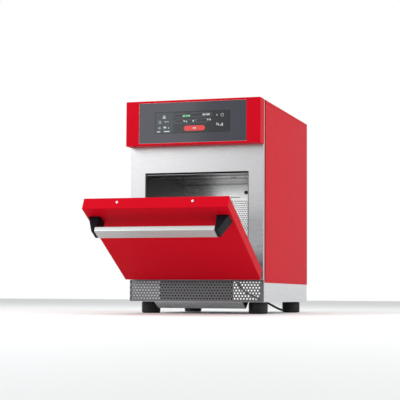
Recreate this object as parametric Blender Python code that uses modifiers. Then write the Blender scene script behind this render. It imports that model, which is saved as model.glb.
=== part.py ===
"""High-speed oven: a countertop oven with a drop-down door, built as separate pieces.

The frame has X to the right, Y towards the back and Z up, in metres. The sizes below are
measured from the steel front plane (y = 0) and from the floor (z = 0). One empty carries
them all, and it is moved so that the origin is under the middle of the object.
"""
import math

import bmesh
import bpy
from mathutils import Matrix, Vector

# Casing
BODY_WIDTH = 0.400
REAR_SPACE = 0.167
UPPER_SPACE = 0.187
LOWER_SPACE = 0.104
SKIN = 0.0013
SHEET = 0.0015
STRIP_DEPTH = 0.0167
FLANGE = 0.012
FOOT_HEIGHT = 0.0337
PLINTH_HEIGHT = 0.0623
PANEL_OVERLAP = 0.0077
CLEAR = 0.0003
OVERRUN = 0.004

# Feet
FOOT_RADIUS = 0.0274
FOOT_ROUND = 0.004
FOOT_NECK = 0.003
FOOT_FROM_SIDE = 0.0374
FOOT_FROM_FRONT = 0.0818
FOOT_FROM_BACK = 0.066

# Fascia and controls
FASCIA_HEIGHT = 0.1286
FASCIA_PROUD = 0.0432
FASCIA_WALL = 0.0025
FASCIA_BEVEL = 0.0015
GLASS_SIDE_MARGIN = 0.0405
GLASS_END_MARGIN = 0.0065
GLASS_THICKNESS = 0.004
SCREEN_WIDTH = 0.224
SCREEN_HEIGHT = 0.062
SCREEN_RISE = 0.0645
DISPLAY_DEPTH = 0.012
BOARD_THICKNESS = 0.0016
BOARD_BORDER = 0.008
BOARD_PART_DEPTH = 0.010
BUMPER_RADIUS = 0.003
BUMPER_HEIGHT = 0.0017
BUMPER_FROM_SIDE = 0.026
BUMPER_INSET = 0.0085

# Cavity
CAVITY_FROM_SIDE = 0.0475
CAVITY_HEIGHT = 0.220
CAVITY_DEPTH = 0.386
LINER_SHEET = 0.0012
LINER_FLANGE = 0.018
MOUTH_MARGIN = 0.0025
MOUTH_ABOVE_CEILING = 0.006
MOUTH_BOTTOM_DROP = 0.003
CEILING_DROP = 0.0225
CEILING_THICKNESS = 0.002
FAN_CHAMBER = 0.038
COVER_SHEET = 0.0012
JACKET_SIDE_GAP = 0.0008
JACKET = 0.020
COOK_PLATE_THICKNESS = 0.008
COOK_PLATE_RISE = 0.012
COOK_PLATE_MARGIN = 0.004
COOK_PLATE_FOOT = 0.010

# Perforation of the cavity's back wall
COVER_HOLE_PITCH = 0.0172
COVER_HOLE_RADIUS = 0.0045
COVER_FIELD_RADIUS = 0.052
FAN_BELOW_MIDDLE = 0.010
COVER_PORT_X = 0.0523
COVER_PORT_DROP = 0.0255
COVER_PORT_RADIUS = 0.0055

# Convection fan and heater
FAN_INSIDE_HEATER = 0.016
FAN_HUB_RADIUS = 0.020
FAN_DEPTH = 0.014
FAN_BLADES = 11
FAN_BLADE_HALF = 0.0018
FAN_GAP = 0.008
SHAFT_RADIUS = 0.005
SHAFT_CLEAR = 0.0006
SHAFT_IN_MOTOR = 0.008
MOTOR_RADIUS = 0.042
MOTOR_LENGTH = 0.060
HEATER_MARGIN = 0.020
HEATER_TUBE = 0.0035
HEATER_GAP_ANGLE = math.radians(28)
HEATER_LEG_CLEAR = 0.0006
HEATER_POINTS = 33

# Stirrer, waveguide and magnetron
STIRRER_RADIUS = 0.060
STIRRER_HUB_RADIUS = 0.012
STIRRER_BLADES = 3
STIRRER_BLADE_HALF = 0.009
STIRRER_THICKNESS = 0.002
STIRRER_FROM_MOUTH = 0.145
STIRRER_RISE = 0.006
STIRRER_SHAFT_RADIUS = 0.003
STIRRER_MOTOR_RADIUS = 0.024
STIRRER_MOTOR_HEIGHT = 0.024
GUIDE_WIDTH = 0.084
GUIDE_DEPTH = 0.044
GUIDE_WALL = 0.0015
GUIDE_HEIGHT = 0.046
GUIDE_FROM_MOUTH = 0.270
MAGNETRON_WIDTH = 0.092
MAGNETRON_DEPTH = 0.074
MAGNETRON_HEIGHT = 0.078
ANTENNA_RADIUS = 0.008
ANTENNA_LENGTH = 0.020

# Electronics on the upper deck
INVERTER_WIDTH = 0.120
INVERTER_DEPTH = 0.140
INVERTER_HEIGHT = 0.062
INVERTER_FROM_SIDE = 0.012
INVERTER_FROM_FRONT = 0.050
INVERTER_FIN = 0.004
INVERTER_FINS = 7
INVERTER_FIN_CUT = 0.022

# Cooling fan
COOLER_SIZE = 0.092
COOLER_DEPTH = 0.025
COOLER_WALL = 0.003
COOLER_HUB_RADIUS = 0.018
COOLER_BLADES = 7
COOLER_BLADE_HALF = 0.0025
COOLER_TIP_GAP = 0.003
COOLER_STAY_DEPTH = 0.003
COOLER_STAY_HALF = 0.004
COOLER_AXLE_RADIUS = 0.003
COOLER_FROM_SIDE = 0.095
COOLER_FROM_TOP = 0.070
VENT_PITCH = 0.012
VENT_SLOT_HALF = 0.003
VENTS = 7

# Supply
TERMINAL_WIDTH = 0.060
TERMINAL_DEPTH = 0.030
TERMINAL_HEIGHT = 0.034
TERMINAL_FROM_SIDE = 0.090
GLAND_X = -0.062
GLAND_RISE = 0.016
GLAND_RADIUS = 0.010
GLAND_FLANGE = 0.004
GLAND_NECK_RADIUS = 0.0055
GLAND_LENGTH = 0.025
GLAND_STEM = 0.006
GLAND_STEM_RADIUS = 0.007

# Air path under the oven
GRILLE_SHEET = 0.0012
GRILLE_MARGIN = 0.0005
GRILLE_PITCH = 0.018
GRILLE_HOLE_RADIUS = 0.0062
GRILLE_BORDER = 0.006
FILTER_WIDTH = 0.216
FILTER_DEPTH = 0.010
FILTER_PITCH = 0.024
FILTER_HOLE_RADIUS = 0.008
FILTER_BORDER = 0.004
BAFFLE_FOOT_GAP = 0.0032
BAFFLE_FRONT = 0.020
BAFFLE_CREST = 0.060
BAFFLE_BACK = 0.087
BAFFLE_DROP = 0.0187
BAFFLE_SHEET = 0.0012

# Door
DOOR_DEPTH = 0.032
DOOR_GAP_BELOW = 0.0015
DOOR_GAP_ABOVE = 0.0036
DOOR_SHEET = 0.0015
DOOR_BEVEL = 0.0012
DOOR_PACK_MARGIN = 0.028
HINGE_INSET = 0.0062
HINGE_RISE = 0.006
HINGE_FROM_SIDE = 0.014
HINGE_EYE_RADIUS = 0.0042
HINGE_ARM_HALF = 0.0033
HINGE_ARM_THICKNESS = 0.004
HINGE_FOOT_LENGTH = 0.020
HINGE_FOOT_DEPTH = 0.003
HINGE_SLOT_CLEAR = 0.0016
HINGE_NOTCH_HEIGHT = 0.0145
PIN_RADIUS = 0.0020
PIN_CLEAR = 0.0003
PIN_LENGTH = 0.020
PIN_HEAD_RADIUS = 0.004
PIN_HEAD = 0.0015
CHOKE_PLUNGER_GAP = 0.0053
CHOKE_STAND_OFF = 0.0012
CHOKE_WALL = 0.016
CHOKE_PANEL = 0.004
SEAL_WIDTH = 0.006
SEAL_MARGIN = 0.010
SEAL_BELOW_TOP = 0.018
SEAL_ABOVE_HINGE = 0.002
DOOR_REST_ANGLE = math.radians(61.3)
DOOR_SCREW_FROM_SIDE = 0.0962
DOOR_SCREW_FROM_BACK = 0.0135
SCREW_HEAD_RADIUS = 0.0036
SCREW_HEAD = 0.0014
SCREW_SHANK_RADIUS = 0.0018
SCREW_SHANK = 0.006
SCREW_CLEAR = 0.0004

# Handle
BAR_FROM_SIDE = 0.0360
BAR_FROM_TOP = 0.0287
BAR_HEIGHT = 0.0366
BAR_DEPTH = 0.0135
BAR_STAND_OFF = 0.0378
BAR_BEVEL = 0.0010
BRACKET_INSIDE_BAR = 0.0040
BRACKET_PAST_BAR = 0.0300
BRACKET_TIP = 0.0090
BRACKET_BASE_DROP = 0.038
BRACKET_BASE_HEIGHT = 0.039
BRACKET_BEVEL = 0.002

# Interlocks
PLUNGER_FROM_SIDE = 0.0202
PLUNGER_BELOW_FLOOR = 0.009
PLUNGER_RADIUS = 0.0025
PLUNGER_CLEAR = 0.0004
PLUNGER_IN_SWITCH = 0.006
PLUNGER_COLLAR = 0.002
PLUNGER_COLLAR_RADIUS = 0.004
SWITCH_WIDTH = 0.010
SWITCH_DEPTH = 0.020
SWITCH_HEIGHT = 0.028
SWITCH_GAP = 0.0085

# Free cord
CORD_RADIUS = 0.0035
CORD_END = 0.007
CORD_SPACING = 0.016
CORD_FINE = 12
CORD_ROUTE = [
    (-0.062, 0.592, 0.1115),
    (-0.059, 0.606, 0.1080),
    (-0.052, 0.618, 0.0970),
    (-0.043, 0.624, 0.0840),
    (-0.033, 0.626, 0.0710),
    (-0.011, 0.629, 0.0560),
    (0.0125, 0.632, 0.0448),
    (0.0290, 0.635, 0.0367),
    (0.0455, 0.639, 0.0300),
    (0.0610, 0.643, 0.0214),
    (0.0770, 0.647, 0.0125),
    (0.0900, 0.6495, 0.0070),
]
HANK_START = (0.1228, 0.6556)
HANK_HEADING = math.atan2(0.9732, -0.2301)
HANK_RUN = 0.112
HANK_FOLD = 0.021
HANK_WAIST = 0.005
HANK_LAYERS = 4
HANK_STEP = 0.0076
HANK_ARC_POINTS = 8
HANK_RUN_POINTS = 4
CORD_LIFT = 0.0001
TAIL_REACH = 0.062
TAIL_SHARES = [(0.30, 0.0, 0.10), (0.60, 0.35, 0.55), (0.85, 0.90, 0.95)]
PLUG_RADIUS = 0.0180
PLUG_BODY = 0.030
PLUG_COLLAR = 0.014
PLUG_COLLAR_RADIUS = 0.0065
PLUG_PIN_RADIUS = 0.0024
PLUG_PIN_LENGTH = 0.019
PLUG_PIN_SPREAD = 0.0095
CORD_BEVEL_STEPS = 2
HANK_BEVEL_STEPS = 1

# Roundness of turned pieces
FINE_STEPS = 28
ROUND_STEPS = 20
SMALL_STEPS = 12
HEX_SIDES = 6

# Places that follow from the sizes above
HALF = BODY_WIDTH / 2
STEEL_HALF = HALF - SKIN - CLEAR
DECK_Z = FOOT_HEIGHT + PLINTH_HEIGHT
CAVITY_FLOOR = DECK_Z + LOWER_SPACE
CAVITY_TOP = CAVITY_FLOOR + CAVITY_HEIGHT
CEILING_Z = CAVITY_TOP - CEILING_DROP
BODY_TOP = CAVITY_TOP + UPPER_SPACE
BODY_DEPTH = CAVITY_DEPTH + REAR_SPACE
PLUNGER_X = HALF - PLUNGER_FROM_SIDE
PLUNGER_Z = CAVITY_FLOOR - PLUNGER_BELOW_FLOOR
FRAME_BOTTOM = DECK_Z + CLEAR
FRAME_TOP = BODY_TOP - SHEET - CLEAR
REAR_FACE = BODY_DEPTH - SHEET
FASCIA_BOTTOM = BODY_TOP - FASCIA_HEIGHT
DOOR_BOTTOM = DECK_Z + DOOR_GAP_BELOW
DOOR_TOP = FASCIA_BOTTOM - DOOR_GAP_ABOVE
DOOR_FRONT = -FASCIA_PROUD
DOOR_BACK = DOOR_FRONT + DOOR_DEPTH
HINGE_Y = DOOR_FRONT + HINGE_INSET
HINGE_Z = DOOR_BOTTOM + HINGE_RISE
HINGE_X = HALF - HINGE_FROM_SIDE
CAVITY_HALF = HALF - CAVITY_FROM_SIDE
LINER_FRONT = SHEET + CLEAR
LINER_HALF = CAVITY_HALF + LINER_SHEET
MOUTH_HALF = CAVITY_HALF + MOUTH_MARGIN
MOUTH_TOP = CEILING_Z + MOUTH_ABOVE_CEILING
MOUTH_BOTTOM = CAVITY_FLOOR - MOUTH_BOTTOM_DROP
JACKET_IN = LINER_SHEET + CLEAR
JACKET_OUT = JACKET_IN + JACKET
JACKET_HALF = PLUNGER_X - SWITCH_WIDTH / 2 - JACKET_SIDE_GAP
JACKET_TOP = CAVITY_TOP + JACKET_OUT
UPPER_DECK_Z = JACKET_TOP + CLEAR
COVER_FRONT = CAVITY_DEPTH - FAN_CHAMBER
FAN_Z = CAVITY_FLOOR + CAVITY_HEIGHT / 2 - FAN_BELOW_MIDDLE
HEATER_RADIUS = CAVITY_HEIGHT / 2 - HEATER_MARGIN
FAN_RADIUS = HEATER_RADIUS - FAN_INSIDE_HEATER
FAN_Y = COVER_FRONT + COVER_SHEET + FAN_GAP
LINER_BACK = CAVITY_DEPTH + LINER_SHEET
JACKET_BACK = LINER_BACK + CLEAR + JACKET
MOTOR_Y = JACKET_BACK + CLEAR
STIRRER_Z = CEILING_Z + CEILING_THICKNESS + STIRRER_RISE
GUIDE_BOTTOM = CAVITY_TOP + LINER_SHEET + CLEAR
GUIDE_TOP = GUIDE_BOTTOM + GUIDE_HEIGHT
CHOKE_HALF = PLUNGER_X - PLUNGER_RADIUS - CHOKE_PLUNGER_GAP
CHOKE_OVERLAP = CHOKE_HALF - MOUTH_HALF
BAR_HALF_LENGTH = HALF - BAR_FROM_SIDE
BAFFLE_HALF_WIDTH = HALF - FOOT_FROM_SIDE - FOOT_RADIUS - BAFFLE_FOOT_GAP
COOLER_X = HALF - COOLER_FROM_SIDE
GLAND_Z = DECK_Z + GLAND_RISE
BAR_TOP = DOOR_TOP - BAR_FROM_TOP
BAR_BACK = DOOR_FRONT - BAR_STAND_OFF
PLATE_TOP = CAVITY_FLOOR + COOK_PLATE_RISE + COOK_PLATE_THICKNESS
COOLER_Z = BODY_TOP - COOLER_FROM_TOP

PARTS = bpy.data.collections.new("high_speed_oven")
CUTTERS = bpy.data.collections.new("cutters")
EMPTIES = {}
COLOURS = {
    "red_paint": ((0.62, 0.01, 0.02), 0.32, 0.0),
    "steel": ((0.62, 0.62, 0.62), 0.34, 1.0),
    "cavity_steel": ((0.50, 0.50, 0.50), 0.30, 1.0),
    "black_glass": ((0.07, 0.08, 0.09), 0.08, 0.0),
    "screen": ((0.02, 0.03, 0.04), 0.15, 0.0),
    "black_plastic": ((0.02, 0.02, 0.022), 0.45, 0.0),
    "rubber": ((0.015, 0.015, 0.015), 0.8, 0.0),
    "seal": ((0.10, 0.10, 0.10), 0.7, 0.0),
    "wool": ((0.75, 0.72, 0.62), 0.95, 0.0),
    "ceramic": ((0.80, 0.78, 0.72), 0.55, 0.0),
    "board": ((0.02, 0.16, 0.07), 0.5, 0.0),
    "zinc": ((0.55, 0.56, 0.58), 0.4, 1.0),
    "brass": ((0.70, 0.52, 0.22), 0.3, 1.0),
}


def clear_scene():
    """Take the startup objects away."""
    for obj in list(bpy.data.objects):
        bpy.data.objects.remove(obj, do_unlink=True)
    for collection in (PARTS, CUTTERS):
        bpy.context.scene.collection.children.link(collection)


def finish(name, kind):
    """A piece's own Principled material."""
    colour, roughness, metallic = COLOURS[kind]
    made = bpy.data.materials.new(name)
    made.use_nodes = True
    shader = made.node_tree.nodes["Principled BSDF"]
    shader.inputs["Base Color"].default_value = (*colour, 1.0)
    shader.inputs["Roughness"].default_value = roughness
    shader.inputs["Metallic"].default_value = metallic
    return made


def empty(name, point, parent=None):
    """A carrier on a joint's axis, whose pieces are given in the closed oven's frame."""
    made = bpy.data.objects.new(name, None)
    PARTS.objects.link(made)
    made["at"] = point
    if parent:
        made.parent = parent
        made.location = Vector(point) - Vector(parent["at"])
    EMPTIES[name] = made
    return made


def put(obj, kind, carrier="oven", point=(0, 0, 0), turn=(0, 0, 0)):
    """Give a piece its material, its carrier and its place in the closed oven's frame."""
    parent = EMPTIES[carrier]
    PARTS.objects.link(obj)
    obj.parent = parent
    obj.location = Vector(point) - Vector(parent["at"])
    obj.rotation_euler = turn
    if kind:
        obj.data.materials.append(finish(obj.name, kind))
    return obj


def as_cutter(obj):
    """Keep a helper solid out of the model."""
    PARTS.objects.unlink(obj)
    CUTTERS.objects.link(obj)
    obj.hide_render = True
    obj.display_type = "WIRE"
    return obj


def change(obj, helper, operation="DIFFERENCE"):
    """Cut a helper solid from a piece, or join it on."""
    step = obj.modifiers.new(operation.lower(), "BOOLEAN")
    step.operation = operation
    step.object = as_cutter(helper)
    return obj


def bevelled(obj, width, segments=2):
    """Round the edges of a piece before its other modifiers."""
    step = obj.modifiers.new("rounding", "BEVEL")
    step.width = width
    step.segments = segments
    step.limit_method = "ANGLE"
    return obj


def box(name, low, high, kind=None, carrier="oven"):
    """A box between two corners."""
    low = Vector(low)
    high = Vector(high)
    mesh = bpy.data.meshes.new(name)
    shape = bmesh.new()
    bmesh.ops.create_cube(shape, size=1)
    bmesh.ops.scale(shape, vec=high - low, verts=shape.verts)
    shape.to_mesh(mesh)
    shape.free()
    return put(bpy.data.objects.new(name, mesh), kind, carrier, (low + high) / 2)


def rod(name, radius, length, centre, along, kind=None, carrier="oven", steps=SMALL_STEPS):
    """A cylinder about an axis, X, Y or Z."""
    turn = {"X": (0, math.pi / 2, 0), "Y": (math.pi / 2, 0, 0), "Z": (0, 0, 0)}[along]
    mesh = bpy.data.meshes.new(name)
    shape = bmesh.new()
    bmesh.ops.create_cone(
        shape, cap_ends=True, segments=steps, radius1=radius, radius2=radius, depth=length
    )
    shape.to_mesh(mesh)
    shape.free()
    mesh.shade_smooth()
    mesh.set_sharp_from_angle(angle=math.radians(40))
    return put(bpy.data.objects.new(name, mesh), kind, carrier, centre, turn)


def turned(name, profile, point, turn, kind, carrier="oven", steps=ROUND_STEPS):
    """A lathe shape from (radius, height) pairs, which run down the outer side."""
    mesh = bpy.data.meshes.new(name)
    shape = bmesh.new()
    line = [shape.verts.new((radius, 0, height)) for radius, height in profile]
    for upper, lower in zip(line, line[1:]):
        shape.edges.new((upper, lower))
    shape.to_mesh(mesh)
    shape.free()
    obj = put(bpy.data.objects.new(name, mesh), kind, carrier, point, turn)
    step = obj.modifiers.new("turning", "SCREW")
    step.steps = steps
    step.render_steps = steps
    step.use_merge_vertices = True
    step.merge_threshold = CLEAR / 10
    step.use_smooth_shade = True
    return obj


def flat(name, outlines, thickness, centre, normal, kind=None, carrier="oven"):
    """A flat plate from closed outlines, the first its edge and the others its holes.

    The outline runs in (x, z) for a plate facing Y, in (y, z) for one facing X and in
    (x, y) for one facing Z, and centre is the middle of the thickness.
    """
    quarter = math.pi / 2
    turn = {"Y": (quarter, 0, 0), "X": (quarter, 0, quarter), "Z": (0, 0, 0)}[normal]
    curve = bpy.data.curves.new(name, "CURVE")
    curve.dimensions = "2D"
    curve.fill_mode = "BOTH"
    curve.extrude = thickness / 2
    for outline in outlines:
        spline = curve.splines.new("POLY")
        spline.points.add(len(outline) - 1)
        for spot, (across, up) in zip(spline.points, outline):
            spot.co = (across, up, 0, 1)
        spline.use_cyclic_u = True
    place = {"Y": (0, centre, 0), "X": (centre, 0, 0), "Z": (0, 0, centre)}[normal]
    return put(bpy.data.objects.new(name, curve), kind, carrier, place, turn)


def solid(obj, kind=None):
    """Turn a curve piece into a closed mesh, so that it can be cut."""
    bpy.context.view_layer.update()
    depsgraph = bpy.context.evaluated_depsgraph_get()
    mesh = bpy.data.meshes.new_from_object(obj.evaluated_get(depsgraph))
    shape = bmesh.new()
    shape.from_mesh(mesh)
    bmesh.ops.remove_doubles(shape, verts=shape.verts, dist=CLEAR / 30)
    shape.to_mesh(mesh)
    shape.free()
    name = obj.name
    parent = obj.parent
    location = obj.location.copy()
    turn = obj.rotation_euler.copy()
    bpy.data.objects.remove(obj)
    made = bpy.data.objects.new(name, mesh)
    PARTS.objects.link(made)
    made.parent = parent
    made.location = location
    made.rotation_euler = turn
    if kind and not mesh.materials:
        mesh.materials.append(finish(name, kind))
    return made


def rectangle(half, low, high):
    """An outline that is symmetric about zero."""
    return [(-half, low), (half, low), (half, high), (-half, high)]


def oblong(left, low, right, high):
    """An outline from two corners."""
    return [(left, low), (right, low), (right, high), (left, high)]


def ring(across, up, radius, steps=HEX_SIDES, phase=0.0):
    """A round outline with a number of sides."""
    angles = [phase + 2 * math.pi * step / steps for step in range(steps)]
    return [(across + radius * math.cos(a), up + radius * math.sin(a)) for a in angles]


def staggered(half, tall, radius, pitch, across, up):
    """Centres of the staggered holes that fit on a plate of a half width and a height."""
    rise = pitch * math.sqrt(3) / 2
    columns = 1 + int(2 * (half - radius) / pitch)
    rows = 1 + int((tall - 2 * radius) / rise)
    for row in range(rows):
        short = row % 2
        for column in range(columns - short):
            x = across + (column - (columns - 1 - short) / 2) * pitch
            yield x, up + (row - (rows - 1) / 2) * rise


def tube(name, points, radius, kind, level, carrier="oven"):
    """A round wire through points in the closed oven's frame."""
    curve = bpy.data.curves.new(name, "CURVE")
    curve.dimensions = "3D"
    curve.bevel_depth = radius
    curve.bevel_resolution = level
    curve.use_fill_caps = True
    spline = curve.splines.new("POLY")
    spline.points.add(len(points) - 1)
    for spot, point in zip(spline.points, points):
        spot.co = (*point, 1)
    spline.use_smooth = True
    return put(bpy.data.objects.new(name, curve), kind, carrier)


def star(blades, hub, tip, half):
    """The outline of a hub with straight blades."""
    outline = []
    root = math.asin(half / hub)
    end = math.asin(half / tip)
    for blade in range(blades):
        middle = 2 * math.pi * blade / blades
        for radius, angle in ((hub, -root), (tip, -end), (tip, end), (hub, root)):
            reach = middle + angle
            outline.append((radius * math.cos(reach), radius * math.sin(reach)))
    return outline


def moved(outline, across, up):
    """An outline shifted in its plane."""
    return [(x + across, y + up) for x, y in outline]


def make_casing():
    """Plinth, deck, front, side, top and rear sheets."""
    flange_in = STEEL_HALF - FLANGE
    wall_in = STEEL_HALF - SHEET
    low = FOOT_HEIGHT
    top = DECK_Z
    channel = [
        (-STEEL_HALF, low), (STEEL_HALF, low), (STEEL_HALF, top), (flange_in, top),
        (flange_in, top - SHEET), (wall_in, top - SHEET), (wall_in, low + SHEET),
        (-wall_in, low + SHEET), (-wall_in, top - SHEET), (-flange_in, top - SHEET),
        (-flange_in, top), (-STEEL_HALF, top),
    ]
    front = GRILLE_SHEET + CLEAR
    flat("base_pan", [channel], BODY_DEPTH - front, (BODY_DEPTH + front) / 2, "Y", "steel")

    deck_half = STEEL_HALF - SHEET - CLEAR
    box(
        "deck",
        (-deck_half, SHEET + CLEAR, DECK_Z + CLEAR),
        (deck_half, REAR_FACE - CLEAR, DECK_Z + CLEAR + SHEET),
        "zinc",
    )

    plan = [
        (-STEEL_HALF, 0), (STEEL_HALF, 0), (STEEL_HALF, STRIP_DEPTH), (wall_in, STRIP_DEPTH),
        (wall_in, SHEET), (-wall_in, SHEET), (-wall_in, STRIP_DEPTH), (-STEEL_HALF, STRIP_DEPTH),
    ]
    height = FRAME_TOP - FRAME_BOTTOM
    frame = flat("front_frame", [plan], height, (FRAME_TOP + FRAME_BOTTOM) / 2, "Z", "steel")
    frame = solid(frame)
    mouth = box(
        "mouth_cut",
        (-MOUTH_HALF, -OVERRUN, MOUTH_BOTTOM),
        (MOUTH_HALF, SHEET + OVERRUN, MOUTH_TOP),
    )
    change(frame, mouth)
    wire_half = SCREEN_WIDTH / 2
    wire = box(
        "wiring_cut",
        (-wire_half, -OVERRUN, FASCIA_BOTTOM + SCREEN_RISE - SCREEN_HEIGHT / 2),
        (wire_half, SHEET + OVERRUN, FASCIA_BOTTOM + SCREEN_RISE + SCREEN_HEIGHT / 2),
    )
    change(frame, wire)
    for side, word in ((-1, "left"), (1, "right")):
        hole = rod(
            f"plunger_hole_{word}", PLUNGER_RADIUS + PLUNGER_CLEAR, 2 * OVERRUN + SHEET,
            (side * PLUNGER_X, SHEET / 2, PLUNGER_Z), "Y",
        )
        change(frame, hole)

    panel_y = STRIP_DEPTH + CLEAR
    for side, word in ((-1, "left"), (1, "right")):
        inner = side * (HALF - SKIN)
        outer = side * HALF
        panel = box(
            f"{word}_side_panel",
            (min(inner, outer), panel_y, DECK_Z - PANEL_OVERLAP),
            (max(inner, outer), BODY_DEPTH, BODY_TOP),
            "red_paint",
        )
        bevelled(panel, SKIN / 4, 1)

    rear_half = STEEL_HALF - CLEAR
    box("top_panel", (-STEEL_HALF, 0, FRAME_TOP + CLEAR), (STEEL_HALF, BODY_DEPTH, BODY_TOP), "red_paint")
    holes = [ring(GLAND_X, GLAND_Z, GLAND_STEM_RADIUS + CLEAR, SMALL_STEPS)]
    slot_half = COOLER_SIZE / 2 - COOLER_WALL
    for vent in range(VENTS):
        low = COOLER_Z + (vent - (VENTS - 1) / 2) * VENT_PITCH - VENT_SLOT_HALF
        high = low + 2 * VENT_SLOT_HALF
        holes.append(oblong(COOLER_X - slot_half, low, COOLER_X + slot_half, high))
    edge = rectangle(rear_half, FRAME_BOTTOM, FRAME_TOP)
    flat("rear_panel", [edge, *holes], SHEET, BODY_DEPTH - SHEET / 2, "Y", "zinc")

    for word, y in (("front", FOOT_FROM_FRONT), ("rear", BODY_DEPTH - FOOT_FROM_BACK)):
        for side, hand in ((-1, "left"), (1, "right")):
            foot_top = FOOT_HEIGHT - CLEAR
            eased = FOOT_ROUND * (1 - math.cos(math.pi / 4))
            profile = [
                (0, foot_top), (FOOT_RADIUS - FOOT_NECK, foot_top),
                (FOOT_RADIUS, foot_top - FOOT_NECK), (FOOT_RADIUS, FOOT_ROUND),
                (FOOT_RADIUS - eased, eased),
                (FOOT_RADIUS - FOOT_ROUND, 0), (0, 0),
            ]
            place = (side * (HALF - FOOT_FROM_SIDE), y, 0)
            turned(f"foot_{word}_{hand}", profile, place, (0, 0, 0), "rubber")


def make_air_path():
    """Perforated grille, filter cassette behind it and the air baffle below."""
    edge_half = HALF - GRILLE_MARGIN
    low = FOOT_HEIGHT + GRILLE_MARGIN
    high = DECK_Z - CLEAR
    middle = (low + high) / 2
    holes = [
        ring(x, z, GRILLE_HOLE_RADIUS)
        for x, z in staggered(
            edge_half - GRILLE_BORDER, high - low - 2 * GRILLE_BORDER,
            GRILLE_HOLE_RADIUS, GRILLE_PITCH, 0, middle,
        )
    ]
    flat("grille", [rectangle(edge_half, low, high), *holes], GRILLE_SHEET, GRILLE_SHEET / 2, "Y", "zinc")

    inner_low = FOOT_HEIGHT + SHEET + CLEAR
    inner_high = DECK_Z - CLEAR
    middle = (inner_low + inner_high) / 2
    holes = [
        ring(x, z, FILTER_HOLE_RADIUS)
        for x, z in staggered(
            FILTER_WIDTH / 2 - FILTER_BORDER, inner_high - inner_low - 2 * FILTER_BORDER,
            FILTER_HOLE_RADIUS, FILTER_PITCH, 0, middle,
        )
    ]
    front = GRILLE_SHEET + CLEAR
    flat(
        "filter_cassette", [rectangle(FILTER_WIDTH / 2, inner_low, inner_high), *holes],
        FILTER_DEPTH, front + FILTER_DEPTH / 2 + CLEAR, "Y", "zinc",
    )

    top = FOOT_HEIGHT - CLEAR
    low = top - BAFFLE_DROP
    wedge = [(BAFFLE_FRONT, top), (BAFFLE_CREST, low), (BAFFLE_BACK, top)]
    baffle = solid(flat("air_baffle", [wedge], 2 * BAFFLE_HALF_WIDTH, 0, "X", "zinc"))
    slope = BAFFLE_SHEET * math.hypot(BAFFLE_DROP, BAFFLE_CREST - BAFFLE_FRONT) / BAFFLE_DROP
    back_slope = BAFFLE_SHEET * math.hypot(BAFFLE_DROP, BAFFLE_BACK - BAFFLE_CREST) / BAFFLE_DROP
    front_run = (BAFFLE_CREST - BAFFLE_FRONT) / BAFFLE_DROP
    back_run = (BAFFLE_BACK - BAFFLE_CREST) / BAFFLE_DROP
    apex = (slope + back_slope) / (front_run + back_run)
    hollow = [
        (BAFFLE_FRONT + slope - front_run * OVERRUN, top + OVERRUN),
        (BAFFLE_FRONT + slope + front_run * (BAFFLE_DROP - apex), low + apex),
        (BAFFLE_BACK - back_slope + back_run * OVERRUN, top + OVERRUN),
    ]
    inside = 2 * (BAFFLE_HALF_WIDTH - BAFFLE_SHEET)
    change(baffle, solid(flat("baffle_hollow", [hollow], inside, 0, "X")))


def make_fascia():
    """Red housing, glass, display and its board."""
    low = FASCIA_BOTTOM
    fascia = box("fascia_housing", (-HALF, DOOR_FRONT, low), (HALF, -CLEAR, BODY_TOP), "red_paint")
    bevelled(fascia, FASCIA_BEVEL)
    wall = FASCIA_WALL
    hollow = box(
        "fascia_hollow",
        (wall - HALF, DOOR_FRONT + GLASS_THICKNESS + CLEAR, low + wall),
        (HALF - wall, OVERRUN, BODY_TOP - wall),
    )
    change(fascia, hollow)
    glass_half = HALF - GLASS_SIDE_MARGIN
    glass_low = low + GLASS_END_MARGIN
    glass_high = BODY_TOP - GLASS_END_MARGIN
    window = box(
        "glass_window",
        (-glass_half - CLEAR, DOOR_FRONT - OVERRUN, glass_low - CLEAR),
        (glass_half + CLEAR, OVERRUN, glass_high + CLEAR),
    )
    change(fascia, window)
    glass_back = DOOR_FRONT + GLASS_THICKNESS
    low_corner = (-glass_half, DOOR_FRONT, glass_low)
    box("control_glass", low_corner, (glass_half, glass_back, glass_high), "black_glass")

    middle = low + SCREEN_RISE
    display_back = glass_back + CLEAR + DISPLAY_DEPTH
    half = SCREEN_WIDTH / 2
    tall = SCREEN_HEIGHT / 2
    low_corner = (-half, glass_back + CLEAR, middle - tall)
    box("display_module", low_corner, (half, display_back, middle + tall), "screen")
    board_y = display_back + CLEAR
    board = box(
        "control_board",
        (-half - BOARD_BORDER, board_y, middle - tall - BOARD_BORDER),
        (half + BOARD_BORDER, board_y + BOARD_THICKNESS, middle + tall + BOARD_BORDER),
        "board",
    )
    for side in (-1, 1):
        centre = side * half / 2
        part = box(
            f"board_part_{'lr'[side > 0]}",
            (centre - tall / 2, board_y + BOARD_THICKNESS / 2, middle - tall / 2),
            (centre + tall / 2, board_y + BOARD_THICKNESS + BOARD_PART_DEPTH, middle + tall / 2),
        )
        change(board, part, "UNION")
    place = (BUMPER_FROM_SIDE - HALF, DOOR_FRONT + BUMPER_INSET, low - CLEAR - BUMPER_HEIGHT / 2)
    rod("fascia_bumper", BUMPER_RADIUS, BUMPER_HEIGHT, place, "Z", "rubber")


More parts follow.
